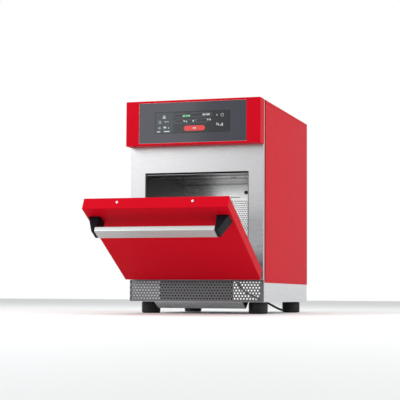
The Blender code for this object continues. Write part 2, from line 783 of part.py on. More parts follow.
def make_cavity():
    """Liner, insulation, fan cover, ceiling plate and cooking plate."""
    flange = LINER_FLANGE
    liner = box(
        "cavity_liner",
        (-LINER_HALF, LINER_FRONT, CAVITY_FLOOR - LINER_SHEET),
        (LINER_HALF, LINER_BACK, CAVITY_TOP + LINER_SHEET),
        "cavity_steel",
    )
    rim = box(
        "liner_rim",
        (-LINER_HALF - flange, LINER_FRONT, CAVITY_FLOOR - LINER_SHEET - flange),
        (LINER_HALF + flange, LINER_FRONT + LINER_SHEET, CAVITY_TOP + LINER_SHEET + flange),
    )
    change(liner, rim, "UNION")
    hollow = box(
        "liner_hollow",
        (-CAVITY_HALF, LINER_FRONT - OVERRUN, CAVITY_FLOOR),
        (CAVITY_HALF, CAVITY_DEPTH, CAVITY_TOP),
    )
    change(liner, hollow)
    bore = SHAFT_RADIUS + SHAFT_CLEAR
    wall = 2 * OVERRUN
    change(liner, rod("liner_shaft_hole", bore, wall, (0, LINER_BACK, FAN_Z), "Y"))
    leg_bore = HEATER_TUBE + HEATER_LEG_CLEAR
    for index, (x, z) in enumerate(heater_ends()):
        change(liner, rod(f"liner_leg_hole_{index}", leg_bore, wall, (x, LINER_BACK, z), "Y"))
    stirrer_bore = STIRRER_SHAFT_RADIUS + SHAFT_CLEAR
    above = (0, STIRRER_FROM_MOUTH, CAVITY_TOP)
    change(liner, rod("liner_stirrer_hole", stirrer_bore, wall, above, "Z"))
    guide_half = GUIDE_WIDTH / 2 - GUIDE_WALL
    guide_deep = GUIDE_DEPTH / 2 - GUIDE_WALL
    port = box(
        "guide_port",
        (-guide_half, GUIDE_FROM_MOUTH - guide_deep, CAVITY_TOP - OVERRUN),
        (guide_half, GUIDE_FROM_MOUTH + guide_deep, CAVITY_TOP + OVERRUN),
    )
    change(liner, port)

    sleeve = [
        rectangle(JACKET_HALF, CAVITY_FLOOR - JACKET_OUT, JACKET_TOP),
        rectangle(CAVITY_HALF + JACKET_IN, CAVITY_FLOOR - JACKET_IN, CAVITY_TOP + JACKET_IN),
    ]
    front = LINER_FRONT + LINER_SHEET + CLEAR
    length = LINER_BACK - front
    jacket = solid(flat("insulation_jacket", sleeve, length, front + length / 2, "Y", "wool"))
    room = (GUIDE_WIDTH / 2 + CLEAR, GUIDE_DEPTH / 2 + CLEAR)
    change(
        jacket,
        box(
            "jacket_port",
            (-room[0], GUIDE_FROM_MOUTH - room[1], CAVITY_TOP),
            (room[0], GUIDE_FROM_MOUTH + room[1], JACKET_TOP + OVERRUN),
        ),
    )
    through = JACKET_OUT + OVERRUN
    above = (0, STIRRER_FROM_MOUTH, JACKET_TOP)
    change(jacket, rod("jacket_stirrer_hole", stirrer_bore, 2 * through, above, "Z"))
    back = [
        rectangle(JACKET_HALF, CAVITY_FLOOR - JACKET_OUT, JACKET_TOP),
        ring(0, FAN_Z, bore, SMALL_STEPS),
        *[ring(x, z, leg_bore, SMALL_STEPS) for x, z in heater_ends()],
    ]
    flat("insulation_back", back, JACKET, LINER_BACK + CLEAR + JACKET / 2, "Y", "wool")

    half = CAVITY_HALF - CLEAR
    holes = [ring(COVER_PORT_X, CEILING_Z - COVER_PORT_DROP, COVER_PORT_RADIUS, SMALL_STEPS)]
    reach = int(COVER_FIELD_RADIUS / COVER_HOLE_PITCH) + 1
    rise = COVER_HOLE_PITCH * math.sqrt(3) / 2
    for row in range(-reach, reach + 1):
        for column in range(-reach, reach + 1):
            x = (column + (row % 2) / 2) * COVER_HOLE_PITCH
            if math.hypot(x, row * rise) <= COVER_FIELD_RADIUS:
                holes.append(ring(x, FAN_Z + row * rise, COVER_HOLE_RADIUS))
    cover = [rectangle(half, CAVITY_FLOOR + CLEAR, CAVITY_TOP - CLEAR), *holes]
    flat("fan_cover", cover, COVER_SHEET, COVER_FRONT + COVER_SHEET / 2, "Y", "cavity_steel")
    box(
        "ceiling_plate",
        (-half, LINER_FRONT + LINER_SHEET, CEILING_Z),
        (half, COVER_FRONT - CLEAR, CEILING_Z + CEILING_THICKNESS),
        "ceramic",
    )

    plate_half = CAVITY_HALF - COOK_PLATE_MARGIN
    plate_front = LINER_FRONT + COOK_PLATE_MARGIN
    plate_back = COVER_FRONT - COOK_PLATE_MARGIN
    plate_middle = PLATE_TOP - COOK_PLATE_THICKNESS / 2
    plate = box(
        "cooking_plate",
        (-plate_half, plate_front, PLATE_TOP - COOK_PLATE_THICKNESS),
        (plate_half, plate_back, PLATE_TOP),
        "ceramic",
    )
    for side in (-1, 1):
        middle = side * (plate_half - COOK_PLATE_FOOT)
        runner = box(
            f"plate_runner_{'lr'[side > 0]}",
            (middle - COOK_PLATE_FOOT / 2, plate_front + COOK_PLATE_FOOT, CAVITY_FLOOR + CLEAR),
            (middle + COOK_PLATE_FOOT / 2, plate_back - COOK_PLATE_FOOT, plate_middle),
        )
        change(plate, runner, "UNION")


def heater_ends():
    """Where the heater's two legs pass back through the wall, in (x, z)."""
    for side in (-1, 1):
        angle = -math.pi / 2 + side * HEATER_GAP_ANGLE / 2
        yield HEATER_RADIUS * math.cos(angle), FAN_Z + HEATER_RADIUS * math.sin(angle)


def make_hot_air():
    """Convection fan, its shaft and motor, and the ring heater round it."""
    axis = (0, FAN_Y + FAN_DEPTH / 2, FAN_Z)
    empty("convection_fan_axis", axis, EMPTIES["oven"])
    wheel = moved(star(FAN_BLADES, FAN_HUB_RADIUS, FAN_RADIUS, FAN_BLADE_HALF), 0, FAN_Z)
    shaft_end = MOTOR_Y + SHAFT_IN_MOTOR
    fan = flat("convection_fan", [wheel], FAN_DEPTH, axis[1], "Y", "cavity_steel", "convection_fan_axis")
    fan = solid(fan)
    shaft = rod(
        "fan_shaft_solid", SHAFT_RADIUS, shaft_end - axis[1], (0, (shaft_end + axis[1]) / 2, FAN_Z),
        "Y", None, "convection_fan_axis", ROUND_STEPS,
    )
    change(fan, shaft, "UNION")

    place = (0, MOTOR_Y + MOTOR_LENGTH / 2, FAN_Z)
    motor = rod("fan_motor", MOTOR_RADIUS, MOTOR_LENGTH, place, "Y", "zinc", steps=ROUND_STEPS)
    bore = rod(
        "motor_bore", SHAFT_RADIUS + CLEAR, 2 * (SHAFT_IN_MOTOR + CLEAR), (0, MOTOR_Y, FAN_Z), "Y"
    )
    change(motor, bore)

    turn = 2 * math.pi - HEATER_GAP_ANGLE
    start = -math.pi / 2 + HEATER_GAP_ANGLE / 2
    loop_y = FAN_Y + FAN_DEPTH / 2
    points = []
    for index in range(HEATER_POINTS):
        angle = start + turn * index / (HEATER_POINTS - 1)
        points.append((HEATER_RADIUS * math.cos(angle), loop_y, FAN_Z + HEATER_RADIUS * math.sin(angle)))
    leg = JACKET_BACK + OVERRUN
    first = points[0]
    last = points[-1]
    bend = 2 * HEATER_TUBE
    points = [
        (first[0], leg, first[2]), (first[0], loop_y + bend, first[2]), *points[1:-1],
        (last[0], loop_y + bend, last[2]), (last[0], leg, last[2]),
    ]
    tube("heater_ring", points, HEATER_TUBE, "steel", HANK_BEVEL_STEPS)


def make_microwave():
    """Stirrer with its motor, waveguide, magnetron, inverter and their deck."""
    deck_half = STEEL_HALF - SHEET - CLEAR
    stirrer_bore = STIRRER_SHAFT_RADIUS + SHAFT_CLEAR
    outlines = [
        oblong(-deck_half, STRIP_DEPTH + CLEAR, deck_half, REAR_FACE - CLEAR),
        oblong(
            -GUIDE_WIDTH / 2 - CLEAR, GUIDE_FROM_MOUTH - GUIDE_DEPTH / 2 - CLEAR,
            GUIDE_WIDTH / 2 + CLEAR, GUIDE_FROM_MOUTH + GUIDE_DEPTH / 2 + CLEAR,
        ),
        ring(0, STIRRER_FROM_MOUTH, stirrer_bore, SMALL_STEPS),
    ]
    flat("upper_deck", outlines, SHEET, UPPER_DECK_Z + SHEET / 2, "Z", "zinc")
    deck_top = UPPER_DECK_Z + SHEET + CLEAR

    centre = (0, STIRRER_FROM_MOUTH, STIRRER_Z + STIRRER_THICKNESS / 2)
    empty("stirrer_axis", centre, EMPTIES["oven"])
    paddle = star(STIRRER_BLADES, STIRRER_HUB_RADIUS, STIRRER_RADIUS, STIRRER_BLADE_HALF)
    paddle = [moved(paddle, 0, STIRRER_FROM_MOUTH)]
    stirrer = flat("stirrer", paddle, STIRRER_THICKNESS, centre[2], "Z", "cavity_steel", "stirrer_axis")
    stirrer = solid(stirrer)
    shaft_top = deck_top + SHAFT_IN_MOTOR
    shaft = rod(
        "stirrer_shaft_solid", STIRRER_SHAFT_RADIUS, shaft_top - centre[2],
        (0, STIRRER_FROM_MOUTH, (shaft_top + centre[2]) / 2), "Z", None, "stirrer_axis",
    )
    change(stirrer, shaft, "UNION")
    motor = rod(
        "stirrer_motor", STIRRER_MOTOR_RADIUS, STIRRER_MOTOR_HEIGHT,
        (0, STIRRER_FROM_MOUTH, deck_top + STIRRER_MOTOR_HEIGHT / 2), "Z", "zinc", steps=ROUND_STEPS,
    )
    bore = rod(
        "stirrer_motor_bore", STIRRER_SHAFT_RADIUS + CLEAR, 2 * (SHAFT_IN_MOTOR + CLEAR),
        (0, STIRRER_FROM_MOUTH, deck_top), "Z",
    )
    change(motor, bore)

    wide = GUIDE_WIDTH / 2
    deep = GUIDE_DEPTH / 2
    middle = GUIDE_FROM_MOUTH
    walls = [
        oblong(-wide, middle - deep, wide, middle + deep),
        rectangle(wide - GUIDE_WALL, middle - deep + GUIDE_WALL, middle + deep - GUIDE_WALL),
    ]
    flat("waveguide", walls, GUIDE_HEIGHT, GUIDE_BOTTOM + GUIDE_HEIGHT / 2, "Z", "zinc")
    base = GUIDE_TOP + CLEAR
    magnetron = box(
        "magnetron",
        (-MAGNETRON_WIDTH / 2, middle - MAGNETRON_DEPTH / 2, base),
        (MAGNETRON_WIDTH / 2, middle + MAGNETRON_DEPTH / 2, base + MAGNETRON_HEIGHT),
        "zinc",
    )
    antenna = rod(
        "antenna_solid", ANTENNA_RADIUS, ANTENNA_LENGTH + OVERRUN,
        (0, middle, base + OVERRUN / 2 - ANTENNA_LENGTH / 2), "Z",
    )
    change(magnetron, antenna, "UNION")

    left = INVERTER_FROM_SIDE - deck_half
    front = INVERTER_FROM_FRONT
    inverter = box(
        "inverter",
        (left, front, deck_top),
        (left + INVERTER_WIDTH, front + INVERTER_DEPTH, deck_top + INVERTER_HEIGHT),
        "zinc",
    )
    pitch = INVERTER_WIDTH / INVERTER_FINS
    for fin in range(INVERTER_FINS - 1):
        x = left + (fin + 1) * pitch
        gap = (pitch - INVERTER_FIN) / 2
        cut = box(
            f"inverter_cut_{fin}",
            (x - gap, front - OVERRUN, deck_top + INVERTER_HEIGHT - INVERTER_FIN_CUT),
            (x + gap, front + INVERTER_DEPTH + OVERRUN, deck_top + INVERTER_HEIGHT + OVERRUN),
        )
        change(inverter, cut)


def make_cooling():
    """The axial fan behind the rear vents."""
    half = COOLER_SIZE / 2
    back = REAR_FACE - CLEAR
    front = back - COOLER_DEPTH
    bore = half - COOLER_WALL
    frame = flat(
        "cooling_fan_frame",
        [oblong(COOLER_X - half, COOLER_Z - half, COOLER_X + half, COOLER_Z + half),
         ring(COOLER_X, COOLER_Z, bore, FINE_STEPS)],
        COOLER_DEPTH, (front + back) / 2, "Y", "black_plastic",
    )
    frame = solid(frame)
    stay_y = (back - COOLER_STAY_DEPTH, back)
    hub = rod(
        "cooler_hub_plate", COOLER_HUB_RADIUS, COOLER_STAY_DEPTH,
        (COOLER_X, back - COOLER_STAY_DEPTH / 2, COOLER_Z), "Y", steps=ROUND_STEPS,
    )
    change(frame, hub, "UNION")
    reach = half - COOLER_WALL / 2
    across = box(
        "cooler_stay_across",
        (COOLER_X - reach, stay_y[0], COOLER_Z - COOLER_STAY_HALF),
        (COOLER_X + reach, stay_y[1], COOLER_Z + COOLER_STAY_HALF),
    )
    change(frame, across, "UNION")
    axle_bore = COOLER_AXLE_RADIUS + CLEAR
    change(frame, rod("cooler_axle_hole", axle_bore, COOLER_DEPTH, (COOLER_X, back, COOLER_Z), "Y"))

    rotor_back = stay_y[0] - CLEAR * 3
    rotor_front = front + COOLER_TIP_GAP
    axis = (COOLER_X, (rotor_front + rotor_back) / 2, COOLER_Z)
    empty("cooling_fan_axis", axis, EMPTIES["oven"])
    wheel = star(COOLER_BLADES, COOLER_HUB_RADIUS, bore - COOLER_TIP_GAP, COOLER_BLADE_HALF)
    rotor = flat(
        "cooling_fan_rotor", [moved(wheel, COOLER_X, COOLER_Z)], rotor_back - rotor_front,
        axis[1], "Y", "black_plastic", "cooling_fan_axis",
    )
    rotor = solid(rotor)
    axle = rod(
        "cooler_axle", COOLER_AXLE_RADIUS, back - CLEAR - axis[1],
        (COOLER_X, (back - CLEAR + axis[1]) / 2, COOLER_Z), "Y", None, "cooling_fan_axis",
    )
    change(rotor, axle, "UNION")


def make_interlocks():
    """Two sprung plungers that the closing door meets, each with its switch."""
    tip = DOOR_BACK + CLEAR
    switch_front = SHEET + SWITCH_GAP
    for side, word in ((-1, "left"), (1, "right")):
        x = side * PLUNGER_X
        carrier = f"plunger_axis_{word}"
        empty(carrier, (x, tip, PLUNGER_Z), EMPTIES["oven"])
        end = switch_front + PLUNGER_IN_SWITCH
        plunger = rod(
            f"interlock_plunger_{word}", PLUNGER_RADIUS, end - tip, (x, (end + tip) / 2, PLUNGER_Z),
            "Y", "black_plastic", carrier,
        )
        collar = rod(
            f"plunger_collar_{word}", PLUNGER_COLLAR_RADIUS, PLUNGER_COLLAR,
            (x, SHEET + CLEAR + PLUNGER_COLLAR / 2, PLUNGER_Z), "Y", None, carrier,
        )
        change(plunger, collar, "UNION")
        wide = SWITCH_WIDTH / 2
        tall = SWITCH_HEIGHT / 2
        switch = box(
            f"interlock_switch_{word}",
            (x - wide, switch_front, PLUNGER_Z - tall),
            (x + wide, switch_front + SWITCH_DEPTH, PLUNGER_Z + tall),
            "black_plastic",
        )
        bore = rod(
            f"switch_bore_{word}", PLUNGER_RADIUS + CLEAR, 2 * SWITCH_DEPTH - 2 * OVERRUN,
            (x, switch_front, PLUNGER_Z), "Y",
        )
        change(switch, bore)


def make_hinges():
    """Hinge arms on the body and the pins that the door turns on."""
    for side, word in ((-1, "left"), (1, "right")):
        x = side * HINGE_X
        thick = HINGE_ARM_THICKNESS
        tangent = math.asin(HINGE_ARM_HALF / HINGE_EYE_RADIUS)
        eye = []
        for step in range(SMALL_STEPS + 1):
            angle = tangent + (2 * math.pi - 2 * tangent) * step / SMALL_STEPS
            across = HINGE_EYE_RADIUS * math.cos(angle)
            up = HINGE_EYE_RADIUS * math.sin(angle)
            eye.append((HINGE_Y + across, HINGE_Z + up))
        root = -CLEAR - HINGE_FOOT_DEPTH
        outline = [
            *eye, (root, HINGE_Z - HINGE_ARM_HALF), (-CLEAR, HINGE_Z - HINGE_ARM_HALF),
            (-CLEAR, HINGE_Z + HINGE_FOOT_LENGTH), (root, HINGE_Z + HINGE_FOOT_LENGTH),
            (root, HINGE_Z + HINGE_ARM_HALF),
        ]
        hole = ring(HINGE_Y, HINGE_Z, PIN_RADIUS + PIN_CLEAR, SMALL_STEPS)
        flat(f"hinge_arm_{word}", [outline, hole], thick, x, "X", "steel")
        seat = side * (HALF - DOOR_SHEET - CLEAR)
        pin = rod(
            f"hinge_pin_{word}", PIN_RADIUS, PIN_LENGTH, (seat - side * PIN_LENGTH / 2, HINGE_Y, HINGE_Z),
            "X", "steel", "door_axis",
        )
        head = rod(
            f"hinge_pin_head_{word}", PIN_HEAD_RADIUS, PIN_HEAD,
            (seat - side * PIN_HEAD / 2, HINGE_Y, HINGE_Z), "X", None, "door_axis",
        )
        change(pin, head, "UNION")


def make_door():
    """Outer pan, inner panel, choke, seal, insulation and screws, on the hinge axis."""
    outer = box(
        "door_outer_panel", (-HALF, DOOR_FRONT, DOOR_BOTTOM), (HALF, DOOR_BACK, DOOR_TOP),
        "red_paint", "door_axis",
    )
    bevelled(outer, DOOR_BEVEL)
    wall = DOOR_SHEET
    hollow = box(
        "door_hollow",
        (wall - HALF, DOOR_FRONT + wall, DOOR_BOTTOM + wall),
        (HALF - wall, DOOR_BACK + OVERRUN, DOOR_TOP - wall),
        None, "door_axis",
    )
    change(outer, hollow)
    slot = HINGE_ARM_THICKNESS / 2 + HINGE_SLOT_CLEAR
    inner_half = HALF - wall - CLEAR
    inner_low = DOOR_BOTTOM + wall + CLEAR
    inner_high = DOOR_TOP - wall - CLEAR
    panel = box(
        "door_inner_panel",
        (-inner_half, DOOR_BACK - SHEET, inner_low),
        (inner_half, DOOR_BACK, inner_high),
        "steel", "door_axis",
    )
    for side, word in ((-1, "left"), (1, "right")):
        x = side * HINGE_X
        gap = box(
            f"door_slot_{word}",
            (x - slot, DOOR_FRONT + wall, DOOR_BOTTOM - OVERRUN),
            (x + slot, DOOR_BACK + OVERRUN, DOOR_BOTTOM + wall + OVERRUN),
            None, "door_axis",
        )
        change(outer, gap)
        notch = box(
            f"panel_notch_{word}",
            (x - slot, DOOR_BACK - OVERRUN, DOOR_BOTTOM - OVERRUN),
            (x + slot, DOOR_BACK + OVERRUN, DOOR_BOTTOM + HINGE_NOTCH_HEIGHT),
            None, "door_axis",
        )
        change(panel, notch)
        shank = side * (HALF - DOOR_SCREW_FROM_SIDE)
        y = DOOR_BACK - DOOR_SCREW_FROM_BACK
        hole = rod(
            f"screw_hole_{word}", SCREW_SHANK_RADIUS + SCREW_CLEAR, 2 * OVERRUN, (shank, y, DOOR_TOP),
            "Z", None, "door_axis",
        )
        change(outer, hole)
        base = DOOR_TOP + CLEAR
        profile = [
            (0, base + SCREW_HEAD), (SCREW_HEAD_RADIUS / 2, base + SCREW_HEAD),
            (SCREW_HEAD_RADIUS, base + SCREW_HEAD / 3), (SCREW_HEAD_RADIUS, base),
            (SCREW_SHANK_RADIUS, base), (SCREW_SHANK_RADIUS, base - SCREW_SHANK), (0, base - SCREW_SHANK),
        ]
        turned(f"door_screw_{word}", profile, (shank, y, 0), (0, 0, 0), "steel", "door_axis", SMALL_STEPS)

    pack = DOOR_PACK_MARGIN
    box(
        "door_insulation",
        (pack - HALF, DOOR_FRONT + wall + CLEAR, DOOR_BOTTOM + pack),
        (HALF - pack, DOOR_BACK - SHEET - CLEAR, DOOR_TOP - pack),
        "wool", "door_axis",
    )
    half = CHOKE_HALF
    low = MOUTH_BOTTOM - CHOKE_OVERLAP
    high = MOUTH_TOP + CHOKE_OVERLAP
    front = DOOR_BACK + CLEAR
    choke = box(
        "door_choke", (-half, front, low), (half, -CHOKE_STAND_OFF, high), "cavity_steel", "door_axis"
    )
    wide = CHOKE_WALL
    dish = box(
        "choke_dish",
        (wide - half, front + CHOKE_PANEL, low + wide),
        (half - wide, OVERRUN, high - wide),
        None, "door_axis",
    )
    change(choke, dish)
    reach = HALF - SEAL_MARGIN
    bottom = HINGE_Z + HINGE_FOOT_LENGTH + SEAL_ABOVE_HINGE
    top = DOOR_TOP - SEAL_BELOW_TOP
    outlines = [
        rectangle(reach, bottom, top),
        rectangle(reach - SEAL_WIDTH, bottom + SEAL_WIDTH, top - SEAL_WIDTH),
    ]
    flat("door_seal", outlines, -CLEAR - front, (front - CLEAR) / 2, "Y", "seal", "door_axis")


def block_between(name, near, far, kind, carrier):
    """A block that tapers from one rectangle to another, each (x0, x1, y, z0, z1)."""
    mesh = bpy.data.meshes.new(name)
    shape = bmesh.new()
    bmesh.ops.create_cube(shape, size=2)
    for vert in shape.verts:
        x0, x1, y, z0, z1 = near if vert.co.y > 0 else far
        vert.co = (x1 if vert.co.x > 0 else x0, y, z1 if vert.co.z > 0 else z0)
    shape.to_mesh(mesh)
    shape.free()
    return put(bpy.data.objects.new(name, mesh), kind, carrier)


def make_handle():
    """Steel bar between two tapered plastic brackets."""
    low = BAR_TOP - BAR_HEIGHT
    front = BAR_BACK - BAR_DEPTH
    bar = box(
        "handle_bar", (-BAR_HALF_LENGTH, front, low), (BAR_HALF_LENGTH, BAR_BACK, BAR_TOP),
        "steel", "door_axis",
    )
    bevelled(bar, BAR_BEVEL)
    base_top = DOOR_TOP - BRACKET_BASE_DROP
    base_low = base_top - BRACKET_BASE_HEIGHT
    tip_inner = BAR_HALF_LENGTH + CLEAR
    for side, word in ((-1, "left"), (1, "right")):
        base_inner = BAR_HALF_LENGTH - BRACKET_INSIDE_BAR
        base_outer = BAR_HALF_LENGTH + BRACKET_PAST_BAR
        tip_outer = BAR_HALF_LENGTH + BRACKET_TIP
        near_xs = sorted((side * base_inner, side * base_outer))
        far_xs = sorted((side * tip_inner, side * tip_outer))
        near = (*near_xs, DOOR_FRONT - CLEAR, base_low, base_top)
        far = (*far_xs, front, low, BAR_TOP)
        bracket = block_between(f"handle_bracket_{word}", near, far, "black_plastic", "door_axis")
        bevelled(bracket, BRACKET_BEVEL / 2, 1)
        room = CLEAR
        pocket = box(
            f"bracket_pocket_{word}",
            (-BAR_HALF_LENGTH - room, front - OVERRUN, low - OVERRUN),
            (BAR_HALF_LENGTH + room, BAR_BACK + room, BAR_TOP + OVERRUN),
            None, "door_axis",
        )
        change(bracket, pocket)


def smooth_line(route, spacing):
    """Even points on a smooth curve through the route's own points."""
    knots = [Vector(point) for point in route]
    before = 2 * knots[0] - knots[1]
    after = 2 * knots[-1] - knots[-2]
    knots = [before, *knots, after]
    fine = []
    for a, b, c, d in zip(knots, knots[1:], knots[2:], knots[3:]):
        for piece in range(CORD_FINE):
            t = piece / CORD_FINE
            squared = (2 * a - 5 * b + 4 * c - d) * t**2
            cubed = (3 * b - a - 3 * c + d) * t**3
            fine.append((2 * b + (c - a) * t + squared + cubed) / 2)
    fine.append(knots[-2])
    walked = [0.0]
    for start, end in zip(fine, fine[1:]):
        walked.append(walked[-1] + (end - start).length)
    count = max(2, round(walked[-1] / spacing))
    out = []
    index = 0
    for step in range(count + 1):
        target = walked[-1] * step / count
        while index < len(fine) - 2 and walked[index + 1] < target:
            index += 1
        share = (target - walked[index]) / max(walked[index + 1] - walked[index], CLEAR / 10)
        out.append(fine[index].lerp(fine[index + 1], share))
    return out


def hank_line():
    """The centreline of the folded cord: level loops on each other, which climb along one run."""
    ahead = Vector((math.cos(HANK_HEADING), math.sin(HANK_HEADING), 0))
    right = Vector((ahead.y, -ahead.x, 0))
    ground = CORD_RADIUS + CORD_LIFT
    start = Vector((*HANK_START, ground))
    near = start + HANK_FOLD * ahead
    far = near + HANK_RUN * ahead
    points = [start - CORD_END * right]

    def arc(centre, begin, end, count, layer):
        for step in range(count):
            angle = begin + (end - begin) * step / count
            spot = centre + HANK_FOLD * (math.sin(angle) * ahead + math.cos(angle) * right)
            points.append(spot + Vector((0, 0, layer * HANK_STEP)))

    def run(begin, end, side, layer, climb):
        for step in range(HANK_RUN_POINTS):
            share = step / HANK_RUN_POINTS
            drawn = HANK_WAIST * math.sin(math.pi * share) ** 2
            rise = layer + (share if climb else 0)
            spot = begin.lerp(end, share) + side * (HANK_FOLD - drawn) * right
            points.append(spot + Vector((0, 0, rise * HANK_STEP)))

    for layer in range(HANK_LAYERS):
        arc(near, -math.pi / 2, 0, HANK_ARC_POINTS // 2, layer)
        run(near, far, 1, layer, False)
        arc(far, 0, math.pi, HANK_ARC_POINTS, layer)
        if layer < HANK_LAYERS - 1:
            run(far, near, -1, layer, True)
            arc(near, math.pi, 3 * math.pi / 2, HANK_ARC_POINTS // 2, layer + 1)
    points.append(far - HANK_FOLD * right + Vector((0, 0, (HANK_LAYERS - 1) * HANK_STEP)))
    return points, ahead, right


def tail_line(start, end, ahead):
    """The stretch from the top loop up to the plug: along, then across and up."""
    leap = end - start
    along = Vector((leap.x, leap.y, 0)).project(ahead)
    across = Vector((leap.x, leap.y, 0)) - along
    lift = Vector((0, 0, leap.z))
    return [start + forth * along + over * across + up * lift for forth, over, up in TAIL_SHARES]


def make_supply():
    """Terminal block, gland, free cord, its folded length and the plug."""
    deck_top = DECK_Z + CLEAR + SHEET + CLEAR
    back = REAR_FACE - CLEAR
    middle = TERMINAL_FROM_SIDE - HALF
    box(
        "terminal_block",
        (middle - TERMINAL_WIDTH / 2, back - TERMINAL_DEPTH, deck_top),
        (middle + TERMINAL_WIDTH / 2, back, deck_top + TERMINAL_HEIGHT),
        "black_plastic",
    )
    base = BODY_DEPTH + CLEAR
    tip = GLAND_LENGTH
    flange = GLAND_FLANGE
    profile = [
        (0, tip), (GLAND_NECK_RADIUS, tip), (GLAND_RADIUS - GLAND_FLANGE / 2, flange),
        (GLAND_RADIUS, flange), (GLAND_RADIUS, 0), (GLAND_STEM_RADIUS, 0),
        (GLAND_STEM_RADIUS, -GLAND_STEM), (0, -GLAND_STEM),
    ]
    turned("cable_gland", profile, (GLAND_X, base, GLAND_Z), (-math.pi / 2, 0, 0), "black_plastic")

    exit_y = base + GLAND_LENGTH + CLEAR
    start = (GLAND_X, exit_y, GLAND_Z)
    lead = (GLAND_X, exit_y + CORD_END, GLAND_Z)
    line, ahead, right = hank_line()
    join = line[0]
    before = join - (CORD_END + CLEAR) * right
    meet = join - CLEAR * right
    body = smooth_line([lead, *CORD_ROUTE, before], CORD_SPACING)
    tube("cord_run", [start, *body, meet], CORD_RADIUS, "rubber", CORD_BEVEL_STEPS)

    top_line = CORD_LIFT + CORD_RADIUS + (HANK_LAYERS - 1) * HANK_STEP
    entry = line[-1] + HANK_FOLD * right - (TAIL_REACH + CORD_END) * ahead
    entry.z = top_line + CORD_RADIUS + CLEAR + PLUG_RADIUS
    bend = entry + CORD_END * ahead
    tail = smooth_line([line[-1], *tail_line(line[-1], bend, ahead), bend], CORD_SPACING / 2)
    points = [*line[:-1], *tail, entry + CLEAR * ahead]
    tube("cord_hank", points, CORD_RADIUS, "rubber", HANK_BEVEL_STEPS)
    print("cord length", round(length_of([start, *body, meet]) + length_of(points), 4))
    print("least gap of the hank to itself", round(least_gap(points), 5))

    turn = Matrix.Rotation(HANK_HEADING - math.pi / 2, 4, "Z") @ Matrix.Rotation(-math.pi / 2, 4, "X")
    profile = [
        (0, 0), (PLUG_COLLAR_RADIUS, 0), (PLUG_RADIUS, -PLUG_COLLAR),
        (PLUG_RADIUS, -PLUG_COLLAR - PLUG_BODY), (0, -PLUG_COLLAR - PLUG_BODY),
    ]
    plug = turned("plug", profile, entry, turn.to_euler(), "black_plastic")
    plug_front = entry - (PLUG_COLLAR + PLUG_BODY) * ahead
    for side, word in ((-1, "left"), (1, "right")):
        centre = plug_front + side * PLUG_PIN_SPREAD * right - (PLUG_PIN_LENGTH - OVERRUN) / 2 * ahead
        pin = rod(f"plug_pin_{word}", PLUG_PIN_RADIUS, PLUG_PIN_LENGTH + OVERRUN, centre, "Z")
        pin.rotation_euler = turn.to_euler()
        change(plug, pin, "UNION")


def length_of(points):
    """The length of a line of points."""
    return sum((Vector(b) - Vector(a)).length for a, b in zip(points, points[1:]))


def least_gap(points):
    """The least gap between stretches of the tube that aren't neighbours along it."""
    line = smooth_line(points, CORD_RADIUS)
    skip = round(math.pi * HANK_FOLD / CORD_RADIUS)
    best = HANK_RUN
    for index, point in enumerate(line):
        for other in line[index + skip:]:
            best = min(best, (other - point).length)
    return best - 2 * CORD_RADIUS


def main():
    """Build every piece, then set the door and the origin."""
    clear_scene()
    root = empty("oven", (0, 0, 0))
    door = empty("door_axis", (0, HINGE_Y, HINGE_Z), root)
    make_casing()
    make_air_path()
    make_fascia()
    make_cavity()
    make_hot_air()
    make_microwave()
    make_cooling()
    make_interlocks()
    make_hinges()
    make_door()
    make_handle()
    make_supply()
    door.rotation_euler = (DOOR_REST_ANGLE, 0, 0)

    turn = Matrix.Rotation(DOOR_REST_ANGLE, 3, "X")
    top_edge = turn @ Vector((0, DOOR_FRONT - HINGE_Y, DOOR_TOP - HINGE_Z))
    grip_edge = turn @ Vector((0, BAR_BACK - BAR_DEPTH - HINGE_Y, BAR_TOP - HINGE_Z))
    front = HINGE_Y + min(top_edge.y, grip_edge.y)
    root.location.y = -(front + BODY_DEPTH) / 2
    print("front plane at y", round(root.location.y, 6))


main()
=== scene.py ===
"""The high-speed oven with its drop-down door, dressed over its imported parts.

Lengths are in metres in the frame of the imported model: X to the right, Y towards the back
and Z up from the floor. Door pieces are shaped for the closed door and then swung open
about the hinge line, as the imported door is.
"""
import logging
import math
from collections.abc import Callable, Iterable, Sequence
from dataclasses import dataclass
from enum import Enum

import bmesh
import bpy
from mathutils import Matrix, Vector


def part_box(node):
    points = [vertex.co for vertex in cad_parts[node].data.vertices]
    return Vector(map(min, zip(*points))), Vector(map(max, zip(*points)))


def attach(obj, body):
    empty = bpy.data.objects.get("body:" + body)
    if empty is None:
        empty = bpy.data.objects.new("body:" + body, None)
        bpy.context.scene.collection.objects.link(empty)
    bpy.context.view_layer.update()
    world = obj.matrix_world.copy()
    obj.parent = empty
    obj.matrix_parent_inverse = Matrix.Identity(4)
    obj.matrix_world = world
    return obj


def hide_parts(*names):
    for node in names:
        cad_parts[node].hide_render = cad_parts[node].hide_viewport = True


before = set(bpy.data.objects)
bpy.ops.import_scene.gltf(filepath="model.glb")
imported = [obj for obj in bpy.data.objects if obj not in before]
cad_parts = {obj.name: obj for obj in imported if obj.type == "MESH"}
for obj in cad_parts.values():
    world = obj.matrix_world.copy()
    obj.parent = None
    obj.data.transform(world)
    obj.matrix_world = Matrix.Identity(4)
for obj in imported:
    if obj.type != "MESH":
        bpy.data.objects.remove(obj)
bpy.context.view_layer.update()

Point = tuple[float, float, float]
Outline = list[tuple[float, float]]
Shape = bmesh.types.BMesh

